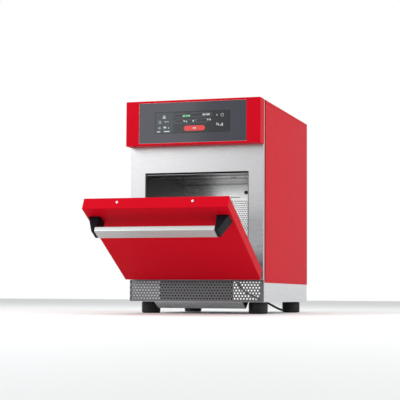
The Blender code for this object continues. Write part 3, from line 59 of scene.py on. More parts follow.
LOG = logging.getLogger("oven")
MM = 0.001
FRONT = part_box("front_frame")[0][1]
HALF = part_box("right_side_panel")[1][0]
HINGE_AHEAD = 37.0 * MM
HINGE_HEIGHT = 103.5 * MM
HINGE = Vector((0.0, FRONT - HINGE_AHEAD, HINGE_HEIGHT))
DOOR_ANGLE = math.radians(61.3)
SWUNG = (
    Matrix.Translation(HINGE) @ Matrix.Rotation(DOOR_ANGLE, 4, "X") @ Matrix.Translation(-HINGE)
)
QUARTER_X = Matrix.Rotation(math.pi / 2, 3, "X")
SHARP_ABOVE = math.radians(30)
SMOOTH_BELOW = math.radians(38)
HOLE_SIDES = 12


class Body(Enum):
    """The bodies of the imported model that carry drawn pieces."""

    OVEN = "oven"
    DOOR = "door"


class Grain(Enum):
    """The way that a sheet was brushed, as the scale of its noise along X, Y and Z."""

    ACROSS = (0.012, 1.0, 1.0)
    DEEP = (1.0, 0.012, 1.0)
    UPRIGHT = (1.0, 1.0, 0.012)


def linear(colour: str) -> tuple[float, float, float, float]:
    """Turns an sRGB hex colour to linear light.

    Args:
        colour: Six hex digits.

    Returns:
        Red, green, blue and an alpha of 1.
    """
    parts = []
    for start in (0, 2, 4):
        share = int(colour[start:start + 2], 16) / 255
        parts.append(share / 12.92 if share <= 0.04045 else ((share + 0.055) / 1.055) ** 2.4)
    return (parts[0], parts[1], parts[2], 1.0)


def add_node(
    tree: bpy.types.NodeTree, kind: str, sockets: dict[str | int, object] | None = None,
    **settings: object,
) -> bpy.types.Node:
    """Adds one node with its settings, its values and its links.

    Args:
        tree: The node tree that takes it.
        kind: The node's type.
        sockets: An input's name or number, and its value or the output linked to it.
        **settings: The node's own properties.

    Returns:
        The new node.
    """
    node = tree.nodes.new(kind)
    for name, value in settings.items():
        setattr(node, name, value)
    for key, value in (sockets or {}).items():
        if isinstance(value, bpy.types.NodeSocket):
            tree.links.new(value, node.inputs[key])
        else:
            node.inputs[key].default_value = value
    return node


@dataclass(frozen=True)
class Finish:
    """What every finish has: a name, a colour, a gloss and how it takes light."""

    name: str
    colour: str
    roughness: float
    metallic: float = 0.0

    def material(self) -> bpy.types.Material:
        """Gives the finish's material, made once.

        Returns:
            The material, with its nodes.
        """
        known = bpy.data.materials.get(self.name)
        if known:
            return known
        made = bpy.data.materials.new(self.name)
        made.use_nodes = True
        tree = made.node_tree
        tree.nodes.clear()
        shader = add_node(tree, "ShaderNodeBsdfPrincipled", {
            "Base Color": linear(self.colour),
            "Roughness": self.roughness,
            "Metallic": self.metallic,
        })
        add_node(tree, "ShaderNodeOutputMaterial", {"Surface": shader.outputs["BSDF"]})
        self.detail(tree, shader)
        return made

    def detail(self, tree: bpy.types.NodeTree, shader: bpy.types.Node) -> None:
        """Adds the finish's own surface to its shader.

        Args:
            tree: The material's nodes.
            shader: The shader that takes the detail.
        """

    def pattern(self, tree: bpy.types.NodeTree, size: float, stretch: Point = (1.0, 1.0, 1.0),
                depth: float = 3.0) -> bpy.types.NodeSocket:
        """Adds noise of a real size in object space.

        Args:
            tree: The material's nodes.
            size: The size of the noise in metres.
            stretch: Its scale along X, Y and Z.
            depth: The number of finer layers.

        Returns:
            The noise, from 0 to 1.
        """
        place = add_node(tree, "ShaderNodeTexCoord")
        turned = add_node(tree, "ShaderNodeMapping", {
            "Vector": place.outputs["Object"], "Scale": stretch,
        })
        noise = add_node(tree, "ShaderNodeTexNoise", {
            "Vector": turned.outputs["Vector"], "Scale": 1 / size, "Detail": depth,
        })
        return noise.outputs["Fac"]

    def spread(self, tree: bpy.types.NodeTree, source: bpy.types.NodeSocket, low: float,
               high: float) -> bpy.types.NodeSocket:
        """Maps the middle of a noise to a range.

        Args:
            tree: The material's nodes.
            source: The noise.
            low: The value at its low end.
            high: The value at its high end.

        Returns:
            The mapped value.
        """
        mapped = add_node(tree, "ShaderNodeMapRange", {
            "Value": source, "From Min": 0.3, "From Max": 0.7, "To Min": low, "To Max": high,
        })
        return mapped.outputs["Result"]

    def tint(self, tree: bpy.types.NodeTree, shader: bpy.types.Node, source: bpy.types.NodeSocket,
             other: str) -> None:
        """Mixes a second colour into the base by a noise.

        Args:
            tree: The material's nodes.
            shader: The shader that takes the colour.
            source: The noise.
            other: The second colour, as hex digits.
        """
        share = self.spread(tree, source, 0.0, 1.0)
        mixed = add_node(tree, "ShaderNodeMix", {
            "Factor": share, 6: linear(self.colour), 7: linear(other),
        }, data_type="RGBA")
        tree.links.new(mixed.outputs[2], shader.inputs["Base Color"])

    def relief(self, tree: bpy.types.NodeTree, shader: bpy.types.Node, source: bpy.types.NodeSocket,
               height: float, strength: float) -> None:
        """Raises the surface by a noise.

        Args:
            tree: The material's nodes.
            shader: The shader that takes the relief.
            source: The noise.
            height: Its height in metres.
            strength: How much of it shows.
        """
        bump = add_node(tree, "ShaderNodeBump", {
            "Height": source, "Distance": height, "Strength": strength,
        })
        tree.links.new(bump.outputs["Normal"], shader.inputs["Normal"])

    def vary_gloss(self, tree: bpy.types.NodeTree, shader: bpy.types.Node,
                   source: bpy.types.NodeSocket, down: float, up: float) -> None:
        """Varies the roughness about its own value by a noise.

        Args:
            tree: The material's nodes.
            shader: The shader that takes the gloss.
            source: The noise.
            down: How far the roughness falls.
            up: How far it rises.
        """
        rough = self.spread(tree, source, self.roughness - down, self.roughness + up)
        tree.links.new(rough, shader.inputs["Roughness"])


@dataclass(frozen=True)
class PowderCoat(Finish):
    """Polyester powder baked on steel: an even colour, a soft gloss and fine orange peel."""

    shade: str = "B00C18"
    peel: float = 5.5 * MM
    gloss: float = 0.015

    def detail(self, tree: bpy.types.NodeTree, shader: bpy.types.Node) -> None:
        """Adds the peel, the faint unevenness of the film and its gloss."""
        self.tint(tree, shader, self.pattern(tree, 70 * MM, depth=2.0), self.shade)
        fine = self.pattern(tree, self.peel, depth=1.0)
        self.relief(tree, shader, fine, 0.04 * MM, 0.18)
        self.vary_gloss(tree, shader, self.pattern(tree, 9 * MM), 0.03, 0.03)
        shader.inputs["Specular IOR Level"].default_value = self.gloss


@dataclass(frozen=True)
class BrushedSheet(Finish):
    """Rolled sheet with a brushed grain, which smears reflections across the strokes."""

    shade: str = "A8A8AA"
    grain: Grain = Grain.ACROSS
    stroke: float = 0.7 * MM
    relief_share: float = 0.25

    def detail(self, tree: bpy.types.NodeTree, shader: bpy.types.Node) -> None:
        """Adds the strokes, drawn about twice as coarse as real so that they show."""
        strokes = self.pattern(tree, self.stroke, self.grain.value)
        self.tint(tree, shader, strokes, self.shade)
        self.vary_gloss(tree, shader, strokes, 0.05, 0.07)
        self.relief(tree, shader, strokes, 0.02 * MM, self.relief_share)


@dataclass(frozen=True)
class BandedSheet(BrushedSheet):
    """Brushed sheet with bands of painted shade and painted reflection across it, given from the
    front to the back.
    """

    bands: tuple[tuple[float, str], ...] = ()

    def detail(self, tree: bpy.types.NodeTree, shader: bpy.types.Node) -> None:
        """Adds the strokes, and then the bands over them."""
        super().detail(tree, shader)
        start, end = self.bands[0][0], self.bands[-1][0]
        place = add_node(tree, "ShaderNodeTexCoord")
        apart = add_node(tree, "ShaderNodeSeparateXYZ", {"Vector": place.outputs["Object"]})
        patchy = self.spread(tree, self.pattern(tree, 25 * MM, depth=4.0), -2.5 * MM, 2.5 * MM)
        depth = add_node(tree, "ShaderNodeMath", {0: apart.outputs["Y"], 1: patchy},
                         operation="ADD")
        share = add_node(tree, "ShaderNodeMapRange", {
            "Value": depth.outputs[0], "From Min": start, "From Max": end,
        })
        # The ramp's greys are painted shade and painted reflection, multiplied into the base
        # colour.
        ramp = add_node(tree, "ShaderNodeValToRGB", {"Fac": share.outputs["Result"]})
        stops = ramp.color_ramp.elements
        while len(stops) < len(self.bands):
            stops.new(0.5)
        for stop, (depth_at, grey) in zip(stops, self.bands):
            stop.position = (depth_at - start) / (end - start)
            stop.color = linear(grey)
        base = shader.inputs["Base Color"].links[0].from_socket
        mixed = add_node(tree, "ShaderNodeMix", {
            "Factor": 1.0, 6: base, 7: ramp.outputs["Color"],
        }, data_type="RGBA", blend_type="MULTIPLY")
        tree.links.new(mixed.outputs[2], shader.inputs["Base Color"])


@dataclass(frozen=True)
class SpangledZinc(Finish):
    """Hot-dip zinc on steel, with flat grey crystals a few millimetres across."""

    shade: str = "8E9296"
    crystal: float = 9 * MM

    def detail(self, tree: bpy.types.NodeTree, shader: bpy.types.Node) -> None:
        """Adds the crystals and their different gloss."""
        place = add_node(tree, "ShaderNodeTexCoord")
        cells = add_node(tree, "ShaderNodeTexVoronoi", {
            "Vector": place.outputs["Object"], "Scale": 1 / self.crystal,
        })
        grey = add_node(tree, "ShaderNodeSeparateColor", {"Color": cells.outputs["Color"]})
        self.tint(tree, shader, grey.outputs["Red"], self.shade)
        self.vary_gloss(tree, shader, grey.outputs["Green"], 0.08, 0.08)


@dataclass(frozen=True)
class Moulding(Finish):
    """Moulded plastic or rubber with a fine, even texture from the tool."""

    shade: str = "2A2A2C"
    texture: float = 0.8 * MM
    height: float = 0.06 * MM
    gloss: float = 0.25

    def detail(self, tree: bpy.types.NodeTree, shader: bpy.types.Node) -> None:
        """Adds the tool's texture and a faint bloom."""
        self.tint(tree, shader, self.pattern(tree, 14 * MM), self.shade)
        self.relief(tree, shader, self.pattern(tree, self.texture, depth=2.0), self.height, 0.4)
        self.vary_gloss(tree, shader, self.pattern(tree, 6 * MM), 0.05, 0.05)
        shader.inputs["Specular IOR Level"].default_value = self.gloss


@dataclass(frozen=True)
class BackPrintedGlass(Finish):
    """Toughened glass printed grey on its back: deep, even and glossy."""

    shade: str = "3A3C44"

    def detail(self, tree: bpy.types.NodeTree, shader: bpy.types.Node) -> None:
        """Adds a faint mottle of the ink under the glass."""
        self.tint(tree, shader, self.pattern(tree, 90 * MM, depth=1.0), self.shade)
        shader.inputs["IOR"].default_value = 1.52


@dataclass(frozen=True)
class LitInk(Finish):
    """A lit sign on the display: its own colour with a little light of its own."""

    glow: float = 0.35

    def detail(self, tree: bpy.types.NodeTree, shader: bpy.types.Node) -> None:
        """Adds the light and the cells of the display, drawn coarse enough to show."""
        place = add_node(tree, "ShaderNodeTexCoord")
        cells = add_node(tree, "ShaderNodeTexVoronoi", {
            "Vector": place.outputs["Object"], "Scale": 1 / (1.5 * MM), "Randomness": 0.0,
        })
        self.vary_gloss(tree, shader, cells.outputs["Distance"], 0.04, 0.04)
        shader.inputs["Emission Color"].default_value = linear(self.colour)
        shader.inputs["Emission Strength"].default_value = self.glow


@dataclass(frozen=True)
class FibreBlanket(Finish):
    """Needled mineral fibre: dull, tangled and soft to the eye."""

    shade: str = "B9B19C"

    def detail(self, tree: bpy.types.NodeTree, shader: bpy.types.Node) -> None:
        """Adds tangled fibres and tufts."""
        self.tint(tree, shader, self.pattern(tree, 6 * MM, depth=6.0), self.shade)
        self.relief(tree, shader, self.pattern(tree, 2 * MM, (1.0, 0.4, 1.0), 6.0), 1.2 * MM, 0.8)


@dataclass(frozen=True)
class FiredStone(Finish):
    """Pressed and fired cordierite: pale, dry and speckled."""

    shade: str = "B8A98E"

    def detail(self, tree: bpy.types.NodeTree, shader: bpy.types.Node) -> None:
        """Adds the speckle of the body and its fine pores."""
        self.tint(tree, shader, self.pattern(tree, 2.2 * MM, depth=5.0), self.shade)
        self.relief(tree, shader, self.pattern(tree, 1.1 * MM, depth=4.0), 0.15 * MM, 0.5)


@dataclass(frozen=True)
class CircuitBoard(Finish):
    """Green solder mask over glass-epoxy, with copper tracks showing through it."""

    shade: str = "1F6B45"

    def detail(self, tree: bpy.types.NodeTree, shader: bpy.types.Node) -> None:
        """Adds the tracks."""
        place = add_node(tree, "ShaderNodeTexCoord")
        turned = add_node(tree, "ShaderNodeMapping", {
            "Vector": place.outputs["Object"], "Rotation": (math.pi / 2, 0.0, 0.0),
        })
        tracks = add_node(tree, "ShaderNodeTexBrick", {
            "Vector": turned.outputs["Vector"], "Color1": linear(self.colour),
            "Color2": linear(self.colour),
            "Mortar": linear(self.shade), "Scale": 1.0, "Brick Width": 9 * MM, "Row Height": 3 * MM,
            "Mortar Size": 0.4 * MM,
        })
        tree.links.new(tracks.outputs["Color"], shader.inputs["Base Color"])


# Powder-coated steel: the deep warm red of the shell, which pales only where it is seen edge-on.
RED_COAT = PowderCoat("red_powder_coat", "C60C20", 0.36, shade="C20C1F")
# Stainless front sheet, brushed across: bright, with soft upright shading.
FRONT_STEEL = BrushedSheet("brushed_stainless_front", "B4B4B5", 0.29, 1.0, shade="B0B0B2",
                           relief_share=0.05)
# The same sheet bent down as the plinth, with its grain from front to back.
PLINTH_STEEL = BrushedSheet("brushed_stainless_plinth", "D2D2D4", 0.24, 1.0, shade="CBCBCE",
                            grain=Grain.DEEP, relief_share=0.1)
# Perforated stainless sheet, plain mill finish: duller, and darkened grey as painted shade for the
# shade that falls on it under the open door.
GRILLE_STEEL = BrushedSheet("perforated_stainless", "6A6B6D", 0.42, 0.9, shade="606164")
# Stainless that has been through the heat: browned and darker, with a weak reflection.
LINER_STEEL = BrushedSheet("heat_tinted_stainless", "3C3B3B", 0.38, 0.85, shade="302F2F",
                           grain=Grain.DEEP)
# Bright cold-rolled stainless of the rear wall of the cavity.
COVER_STEEL = BrushedSheet("bright_stainless_cover", "E6E6E6", 0.22, 1.0, shade="DBDBDC",
                           relief_share=0.08)
# The ribbed ceiling sheet: the bright bands between its beads are painted reflection, and the dark
# bands along them and the greying towards the back are painted shade.
CEILING_STEEL = BandedSheet(
    "ribbed_stainless_ceiling", "F6F6F6", 0.22, 1.0, shade="DADADC", relief_share=0.3,
    bands=(
        (-0.0907, "A4A4A4"), (-0.060, "D2D2D2"), (-0.044, "BCBCBC"), (-0.034, "262626"),
        (-0.024, "262626"), (-0.014, "FFFFFF"), (0.040, "FFFFFF"), (0.052, "BEBEBE"),
        (0.058, "2A2A2A"), (0.068, "2A2A2A"), (0.078, "D6D6D6"), (0.130, "CACACA"),
        (0.190, "BCBCBC"), (0.226, "A0A0A0"), (0.238, "121212"),
    ),
)
# Bright drawn stainless of the handle, tinted a little cyan as painted light: the tint offsets the
# pink reflected onto its lower face from the floor under the door.
HANDLE_STEEL = BrushedSheet("drawn_stainless_handle", "BCC1C0", 0.30, 0.85, shade="B6BBBA",
                            relief_share=0.1)
# Stamped inner door sheet and choke.
DOOR_STEEL = BrushedSheet("stamped_stainless_door", "C2C3C6", 0.32, 1.0, shade="B2B3B7")
# Plain turned or rolled steel of screws, pins and hinge arms.
FIXING_STEEL = BrushedSheet("bright_steel_fixings", "D8D8DA", 0.25, 1.0, shade="C4C4C8",
                            stroke=0.4 * MM)
# Bent baffle sheet under the plinth, plain grey zinc.
BAFFLE_ZINC = SpangledZinc("zinc_baffle", "D2D4D6", 0.5, 0.75, shade="C4C7CA")
# Woven filter medium: dark and dull.
FILTER_MESH = Moulding("filter_medium", "1A1B1C", 0.7, shade="2E2F31", texture=2.0 * MM)
# Zinc-coated chassis sheet.
CHASSIS_ZINC = SpangledZinc("galvanised_chassis", "A4A8AC", 0.45, 0.9, shade="9A9EA2",
                            crystal=7 * MM)
# Die-cast and laminated steel of motors.
MOTOR_METAL = SpangledZinc("motor_laminations", "8A8D90", 0.5, 0.9, shade="7C7F83", crystal=3 * MM)
# Extruded aluminium fins.
FIN_METAL = BrushedSheet("extruded_aluminium", "B9BBBD", 0.4, 1.0, shade="A5A7AA",
                         grain=Grain.UPRIGHT)
# Mineral-filled alloy sheath of the heater: dark and dry.
HEATER_ALLOY = BrushedSheet("alloy_heater_sheath", "4C463F", 0.55, 0.8, shade="38332E",
                            stroke=2 * MM)
# Glass-filled nylon of the handle ends and housings.
BLACK_NYLON = Moulding("glass_filled_nylon", "0B0E13", 0.46, shade="0F131A", gloss=0.1)
# Nitrile rubber of the feet and the bumper.
BLACK_RUBBER = Moulding("nitrile_rubber", "1B1B1C", 0.6, shade="252526", texture=1.2 * MM)
# Silicone seal of the door, grey and a little glossy.
GREY_SILICONE = Moulding("silicone_seal", "6E6F71", 0.5, shade="626365", texture=1.5 * MM)
# Soft vinyl of the cord and its plug.
CORD_VINYL = Moulding("cord_vinyl", "141415", 0.5, shade="1D1D1E", texture=1.0 * MM)
# Grey-printed control glass.
CONTROL_GLASS = BackPrintedGlass("printed_control_glass", "31323D", 0.10, shade="2F303A")
# The dark panel of the display.
DISPLAY_PANEL = BackPrintedGlass("display_panel", "10131A", 0.14, shade="0E1117")
# The divided side field of the display, a shade lighter.
DISPLAY_FIELD = BackPrintedGlass("display_field", "2A333C", 0.14, shade="262F38")
# Lit marks on the display.
WHITE_MARK = LitInk("display_white", "A9B0B4", 0.3, glow=0.2)
GREEN_MARK = LitInk("display_green", "6FC492", 0.3, glow=0.2)
RED_MARK = LitInk("display_red", "C8302B", 0.3, glow=0.1)
GREY_MARK = LitInk("display_grey", "5A646B", 0.3, glow=0.05)
# Pale lining of the glass opening: a trim whose pale colour is partly painted highlight along the
# lit edges of the recess.
PALE_LINING = BrushedSheet("lining_with_painted_highlight", "E6DAD8", 0.3, 0.4, shade="DCCFCD", stroke=0.5 * MM)
WOOL = FibreBlanket("mineral_wool", "CFC8B4", 0.95)
STONE = FiredStone("cordierite", "D6CBB4", 0.85)
BOARD = CircuitBoard("solder_mask_board", "13502F", 0.4)


def block(low: Sequence[float], high: Sequence[float]) -> Shape:
    """Makes a box.

    Args:
        low: Its lowest corner.
        high: Its highest corner.

    Returns:
        The new shape.
    """
    shape = bmesh.new()
    bmesh.ops.create_cube(shape, size=1.0)
    size = Vector(high) - Vector(low)
    bmesh.ops.scale(shape, vec=size, verts=shape.verts)
    bmesh.ops.translate(shape, vec=Vector(low) + size / 2, verts=shape.verts)
    return shape


def is_sharp(edge: bmesh.types.BMEdge) -> bool:
    """Says whether an edge turns by more than 30 degrees."""
    return len(edge.link_faces) == 2 and edge.calc_face_angle(0.0) > SHARP_ABOVE


def soften(shape: Shape, width: float, segments: int = 2,
           chosen: Callable[[bmesh.types.BMEdge], bool] = is_sharp) -> Shape:
    """Rounds edges.

    Args:
        shape: The shape to round.
        width: How far each round reaches.
        segments: The number of faces in it.
        chosen: Says which edges are rounded.

    Returns:
        The same shape.
    """
    edges = [edge for edge in shape.edges if chosen(edge)]
    bmesh.ops.bevel(
        shape, geom=edges, offset=width, segments=segments, profile=0.5, affect="EDGES",
        material=-1, clamp_overlap=True,
    )
    return shape


def lathe(profile: Outline, steps: int = 32) -> Shape:
    """Spins a profile of radius and height about Z.

    Args:
        profile: Points of radius and height.
        steps: The number of faces round it.

    Returns:
        The closed shape.
    """
    shape = bmesh.new()
    points = [shape.verts.new((radius, 0.0, height)) for radius, height in profile]
    for first, second in zip(points, points[1:]):
        shape.edges.new((first, second))
    bmesh.ops.spin(
        shape, geom=[*shape.verts, *shape.edges], cent=(0, 0, 0), axis=(0, 0, 1), dvec=(0, 0, 0),
        angle=2 * math.pi, steps=steps, use_merge=True, use_duplicate=False,
    )
    bmesh.ops.remove_doubles(shape, verts=shape.verts, dist=0.001 * MM)
    bmesh.ops.recalc_face_normals(shape, faces=shape.faces)
    return shape


def slab(outline: Outline, thickness: float) -> Shape:
    """Makes a flat plate in XY from an outline, with its top at the thickness.

    Args:
        outline: The corners in order.
        thickness: How thick it is.

    Returns:
        The new shape.
    """
    shape = bmesh.new()
    points = [shape.verts.new((x, y, 0.0)) for x, y in outline]
    bmesh.ops.contextual_create(shape, geom=points)
    made = bmesh.ops.extrude_face_region(shape, geom=shape.faces[:])
    bmesh.ops.translate(shape, vec=(0, 0, thickness), verts=new_points(made))
    bmesh.ops.recalc_face_normals(shape, faces=shape.faces)
    return shape


def moved(shape: Shape, place: Sequence[float], turn: Matrix | None = None) -> Shape:
    """Turns a shape and then moves it.

    Args:
        shape: The shape.
        place: Where its own origin goes.
        turn: A turn about its origin.

    Returns:
        The same shape.
    """
    matrix = Matrix.Translation(Vector(place))
    if turn is not None:
        matrix = matrix @ turn.to_4x4()
    bmesh.ops.transform(shape, matrix=matrix, verts=shape.verts)
    return shape


def joined(shapes: Iterable[Shape]) -> Shape:
    """Puts several shapes in one.

    Args:
        shapes: The shapes, which are freed.

    Returns:
        One shape with all of them.
    """
    whole = bmesh.new()
    for shape in shapes:
        part = bpy.data.meshes.new("part")
        shape.to_mesh(part)
        shape.free()
        whole.from_mesh(part)
        bpy.data.meshes.remove(part)
    return whole


def copy_of(node: str) -> Shape:
    """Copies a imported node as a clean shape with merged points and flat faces.

    Args:
        node: The node's name.

    Returns:
        The copy.
    """
    shape = bmesh.new()
    shape.from_mesh(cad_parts[node].data)
    bmesh.ops.remove_doubles(shape, verts=shape.verts, dist=0.005 * MM)
    bmesh.ops.dissolve_limit(
        shape, angle_limit=math.radians(1), use_dissolve_boundaries=False,
        verts=shape.verts, edges=shape.edges,
    )
    return shape


def in_mm(points: Outline) -> Outline:
    """Turns an outline from millimetres to metres."""
    return [(first * MM, second * MM) for first, second in points]


def new_points(made: dict[str, list]) -> list[bmesh.types.BMVert]:
    """Picks the points out of what an operator made."""
    return [part for part in made["geom"] if isinstance(part, bmesh.types.BMVert)]


def thicken(shape: Shape, thickness: float) -> None:
    """Gives a shape of bare faces a thickness."""
    bmesh.ops.solidify(shape, geom=shape.faces[:], thickness=thickness)


def open_faces(shape: Shape, picked: Callable[[bmesh.types.BMFace], bool]) -> None:
    """Takes faces away and leaves their edges.

    Args:
        shape: The shape.
        picked: Says which faces go.
    """
    faces = [face for face in shape.faces if picked(face)]
    bmesh.ops.delete(shape, geom=faces, context="FACES_ONLY")


def hole_through(shape: Shape, faces: Sequence[bmesh.types.BMFace]) -> None:
    """Opens a hole between two facing fields of faces and walls it.

    Args:
        shape: The shape.
        faces: The faces at both ends of the hole.
    """
    rims = {edge for face in faces for edge in face.edges}
    bmesh.ops.delete(shape, geom=faces, context="FACES_ONLY")
    bmesh.ops.bridge_loops(shape, edges=[edge for edge in rims if edge.is_valid])
    bmesh.ops.recalc_face_normals(shape, faces=shape.faces)


def cut(shape: Shape, axis: int, places: Iterable[float]) -> None:
    """Cuts a shape's faces by planes square to an axis.

    Args:
        shape: The shape.
        axis: 0 for planes square to X, 2 for planes square to Z.
        places: Where each plane crosses the axis.
    """
    for crossing in places:
        spot, normal = Vector(), Vector()
        spot[axis], normal[axis] = crossing, 1.0
        bmesh.ops.bisect_plane(
            shape, geom=[*shape.verts, *shape.edges, *shape.faces], dist=1e-6,
            plane_co=spot, plane_no=normal,
        )


def swept(points: Iterable[Point], reach: Point) -> Shape:
    """Sweeps an open line into a folded sheet without thickness.

    Args:
        points: The line's points in order.
        reach: How far the line is swept, and which way.

    Returns:
        The new shape.
    """
    shape = bmesh.new()
    line = [shape.verts.new(point) for point in points]
    edges = [shape.edges.new(pair) for pair in zip(line, line[1:])]
    made = bmesh.ops.extrude_edge_only(shape, edges=edges)
    bmesh.ops.translate(shape, vec=reach, verts=new_points(made))
    bmesh.ops.recalc_face_normals(shape, faces=shape.faces)
    return shape


def ring_points(radius: float, count: int, phase: float = 0.0) -> Outline:
    """Gives points round a circle.

    Args:
        radius: The circle's radius.
        count: The number of points.
        phase: The first point's angle.

    Returns:
        The points.
    """
    turns = [phase + 2 * math.pi * index / count for index in range(count)]
    return [(radius * math.cos(turn), radius * math.sin(turn)) for turn in turns]


def pill(half: float, radius: float, count: int = 8) -> Outline:
    """Gives the outline of a bar with round ends, along X.

    Args:
        half: Half its length to the ends of the straight part.
        radius: The radius of its ends.
        count: The number of points in each end.

    Returns:
        The points.
    """
    outline = []
    for side, start in ((1, -math.pi / 2), (-1, math.pi / 2)):
        for index in range(count + 1):
            turn = start + math.pi * index / count
            outline.append((side * half + radius * math.cos(turn), radius * math.sin(turn)))
    return outline


def place(shape: Shape, name: str, finish: Finish, slot: str, replaced: Sequence[str] = (),
          body: Body = Body.OVEN, swing: bool = False, flat: bool = False) -> bpy.types.Object:
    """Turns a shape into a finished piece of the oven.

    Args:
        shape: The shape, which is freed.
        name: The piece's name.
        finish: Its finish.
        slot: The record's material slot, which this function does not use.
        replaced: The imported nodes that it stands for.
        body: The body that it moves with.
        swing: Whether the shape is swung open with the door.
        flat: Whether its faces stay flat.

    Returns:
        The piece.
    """
    if swing:
        bmesh.ops.transform(shape, matrix=SWUNG, verts=shape.verts)
    mesh = bpy.data.meshes.new(name)
    shape.to_mesh(mesh)
    shape.free()
    mesh.materials.append(finish.material())
    piece = bpy.data.objects.new(name, mesh)
    bpy.context.scene.collection.objects.link(piece)
    if not flat:
        mesh.polygons.foreach_set("use_smooth", [True] * len(mesh.polygons))
        mesh.set_sharp_from_angle(angle=SMOOTH_BELOW)
        even = piece.modifiers.new("even_normals", "WEIGHTED_NORMAL")
        even.keep_sharp = True
    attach(piece, body.value)
    if replaced:
        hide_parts(*replaced)
    LOG.info("%s: %d faces on %s", name, len(mesh.polygons), body.value)
    return piece


def dress(finish: Finish, *nodes: str) -> None:
    """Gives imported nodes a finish.

    Args:
        finish: The finish.
        *nodes: The nodes' names.
    """
    for node in nodes:
        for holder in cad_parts[node].material_slots:
            holder.material = finish.material()
        LOG.info("%s: dressed as %s", node, finish.name)


@dataclass
class Studio:
    """The camera at the photograph's angle, a pale floor and soft lamps."""

    camera_place: Point = (1.09347, -3.54332, 0.04869)
    lens: float = 114.27
    yaw: float = math.radians(17.4142)
    pitch: float = math.radians(4.3453)
    roll: float = math.radians(0.3525)
    ambient: float = 0.62
    floor_size: float = 14.0

    def set_camera(self) -> None:
        """Places the camera and makes it the scene's own."""
        forward = Vector((-math.sin(self.yaw), math.cos(self.yaw), 0.0))
        right = Vector((math.cos(self.yaw), math.sin(self.yaw), 0.0))
        up = Vector((0.0, 0.0, 1.0))
        tilted = forward * math.cos(self.pitch) + up * math.sin(self.pitch)
        raised = up * math.cos(self.pitch) - forward * math.sin(self.pitch)
        across = right * math.cos(self.roll) + raised * math.sin(self.roll)
        above = raised * math.cos(self.roll) - right * math.sin(self.roll)
        data = bpy.data.cameras.new("photograph_view")
        data.lens = self.lens
        data.sensor_width = 36.0
        data.clip_start = 0.05
        data.clip_end = 100.0
        camera = bpy.data.objects.new("photograph_view", data)
        axes = Matrix((across, above, -tilted)).transposed()
        camera.matrix_world = Matrix.Translation(Vector(self.camera_place)) @ axes.to_4x4()
        bpy.context.scene.collection.objects.link(camera)
        bpy.context.scene.camera = camera

    def set_floor(self) -> None:
        """Lays the floor."""
        shape = bmesh.new()
        bmesh.ops.create_grid(shape, x_segments=1, y_segments=1, size=self.floor_size)
        mesh = bpy.data.meshes.new("floor")
        shape.to_mesh(mesh)
        shape.free()
        material = bpy.data.materials.new("studio_floor")
        material.use_nodes = True
        tree = material.node_tree
        shader = tree.nodes["Principled BSDF"]
        shader.inputs["Base Color"].default_value = linear("F0F3F3")
        shader.inputs["Roughness"].default_value = 0.6
        mesh.materials.append(material)
        floor = bpy.data.objects.new("floor", mesh)
        bpy.context.scene.collection.objects.link(floor)

    def add_lamp(self, name: str, spot: Point, aim: Point, size: tuple[float, float],
                 power: float) -> None:
        """Hangs a soft rectangular lamp.

        Args:
            name: The lamp's name.
            spot: Where it hangs.
            aim: Where it points.
            size: Its width and its height.
            power: Its power in watts.
        """
        data = bpy.data.lights.new(name, "AREA")
        data.shape = "RECTANGLE"
        data.size, data.size_y = size
        data.energy = power
        lamp = bpy.data.objects.new(name, data)
        lamp.location = spot
        lamp.rotation_euler = (Vector(aim) - Vector(spot)).to_track_quat("-Z", "Y").to_euler()
        bpy.context.scene.collection.objects.link(lamp)

    def set_world(self) -> None:
        """Gives a white background to the eye and to reflections, and a soft fill to the rest."""
        world = bpy.data.worlds.new("studio")
        bpy.context.scene.world = world
        world.use_nodes = True
        tree = world.node_tree
        tree.nodes.clear()
        path = add_node(tree, "ShaderNodeLightPath")
        seen = add_node(tree, "ShaderNodeMath", {
            0: path.outputs["Is Camera Ray"], 1: path.outputs["Is Glossy Ray"],
        }, operation="MAXIMUM")
        through = add_node(tree, "ShaderNodeMath", {
            0: seen.outputs[0], 1: path.outputs["Is Transmission Ray"],
        }, operation="MAXIMUM")
        fill, white = (
            add_node(tree, "ShaderNodeBackground", {"Color": linear("FFFFFF"), "Strength": power})
            for power in (self.ambient, 1.0)
        )
        both = add_node(tree, "ShaderNodeMixShader", {
            0: through.outputs[0], 1: fill.outputs[0], 2: white.outputs[0],
        })
        add_node(tree, "ShaderNodeOutputWorld", {"Surface": both.outputs[0]})

    def build(self) -> None:
        """Sets the whole studio."""
        bpy.context.scene.view_settings.view_transform = "Standard"
        self.set_camera()
        self.set_floor()
        self.set_world()
        self.add_lamp("front_lamp", (-2.2, -2.7, 2.1), (0.0, 0.0, 0.3), (1.6, 1.6), 70.0)
        self.add_lamp("front_card", (-1.75, -3.2, 0.95), (-1.75, 0.0, 0.95), (1.6, 1.25), 6.9)
        self.add_lamp("right_lamp", (2.8, -0.6, 1.5), (0.1, 0.1, 0.3), (1.6, 1.6), 31.0)
        self.add_lamp("top_lamp", (0.0, 0.2, 2.9), (0.0, 0.1, 0.3), (2.0, 2.0), 22.0)


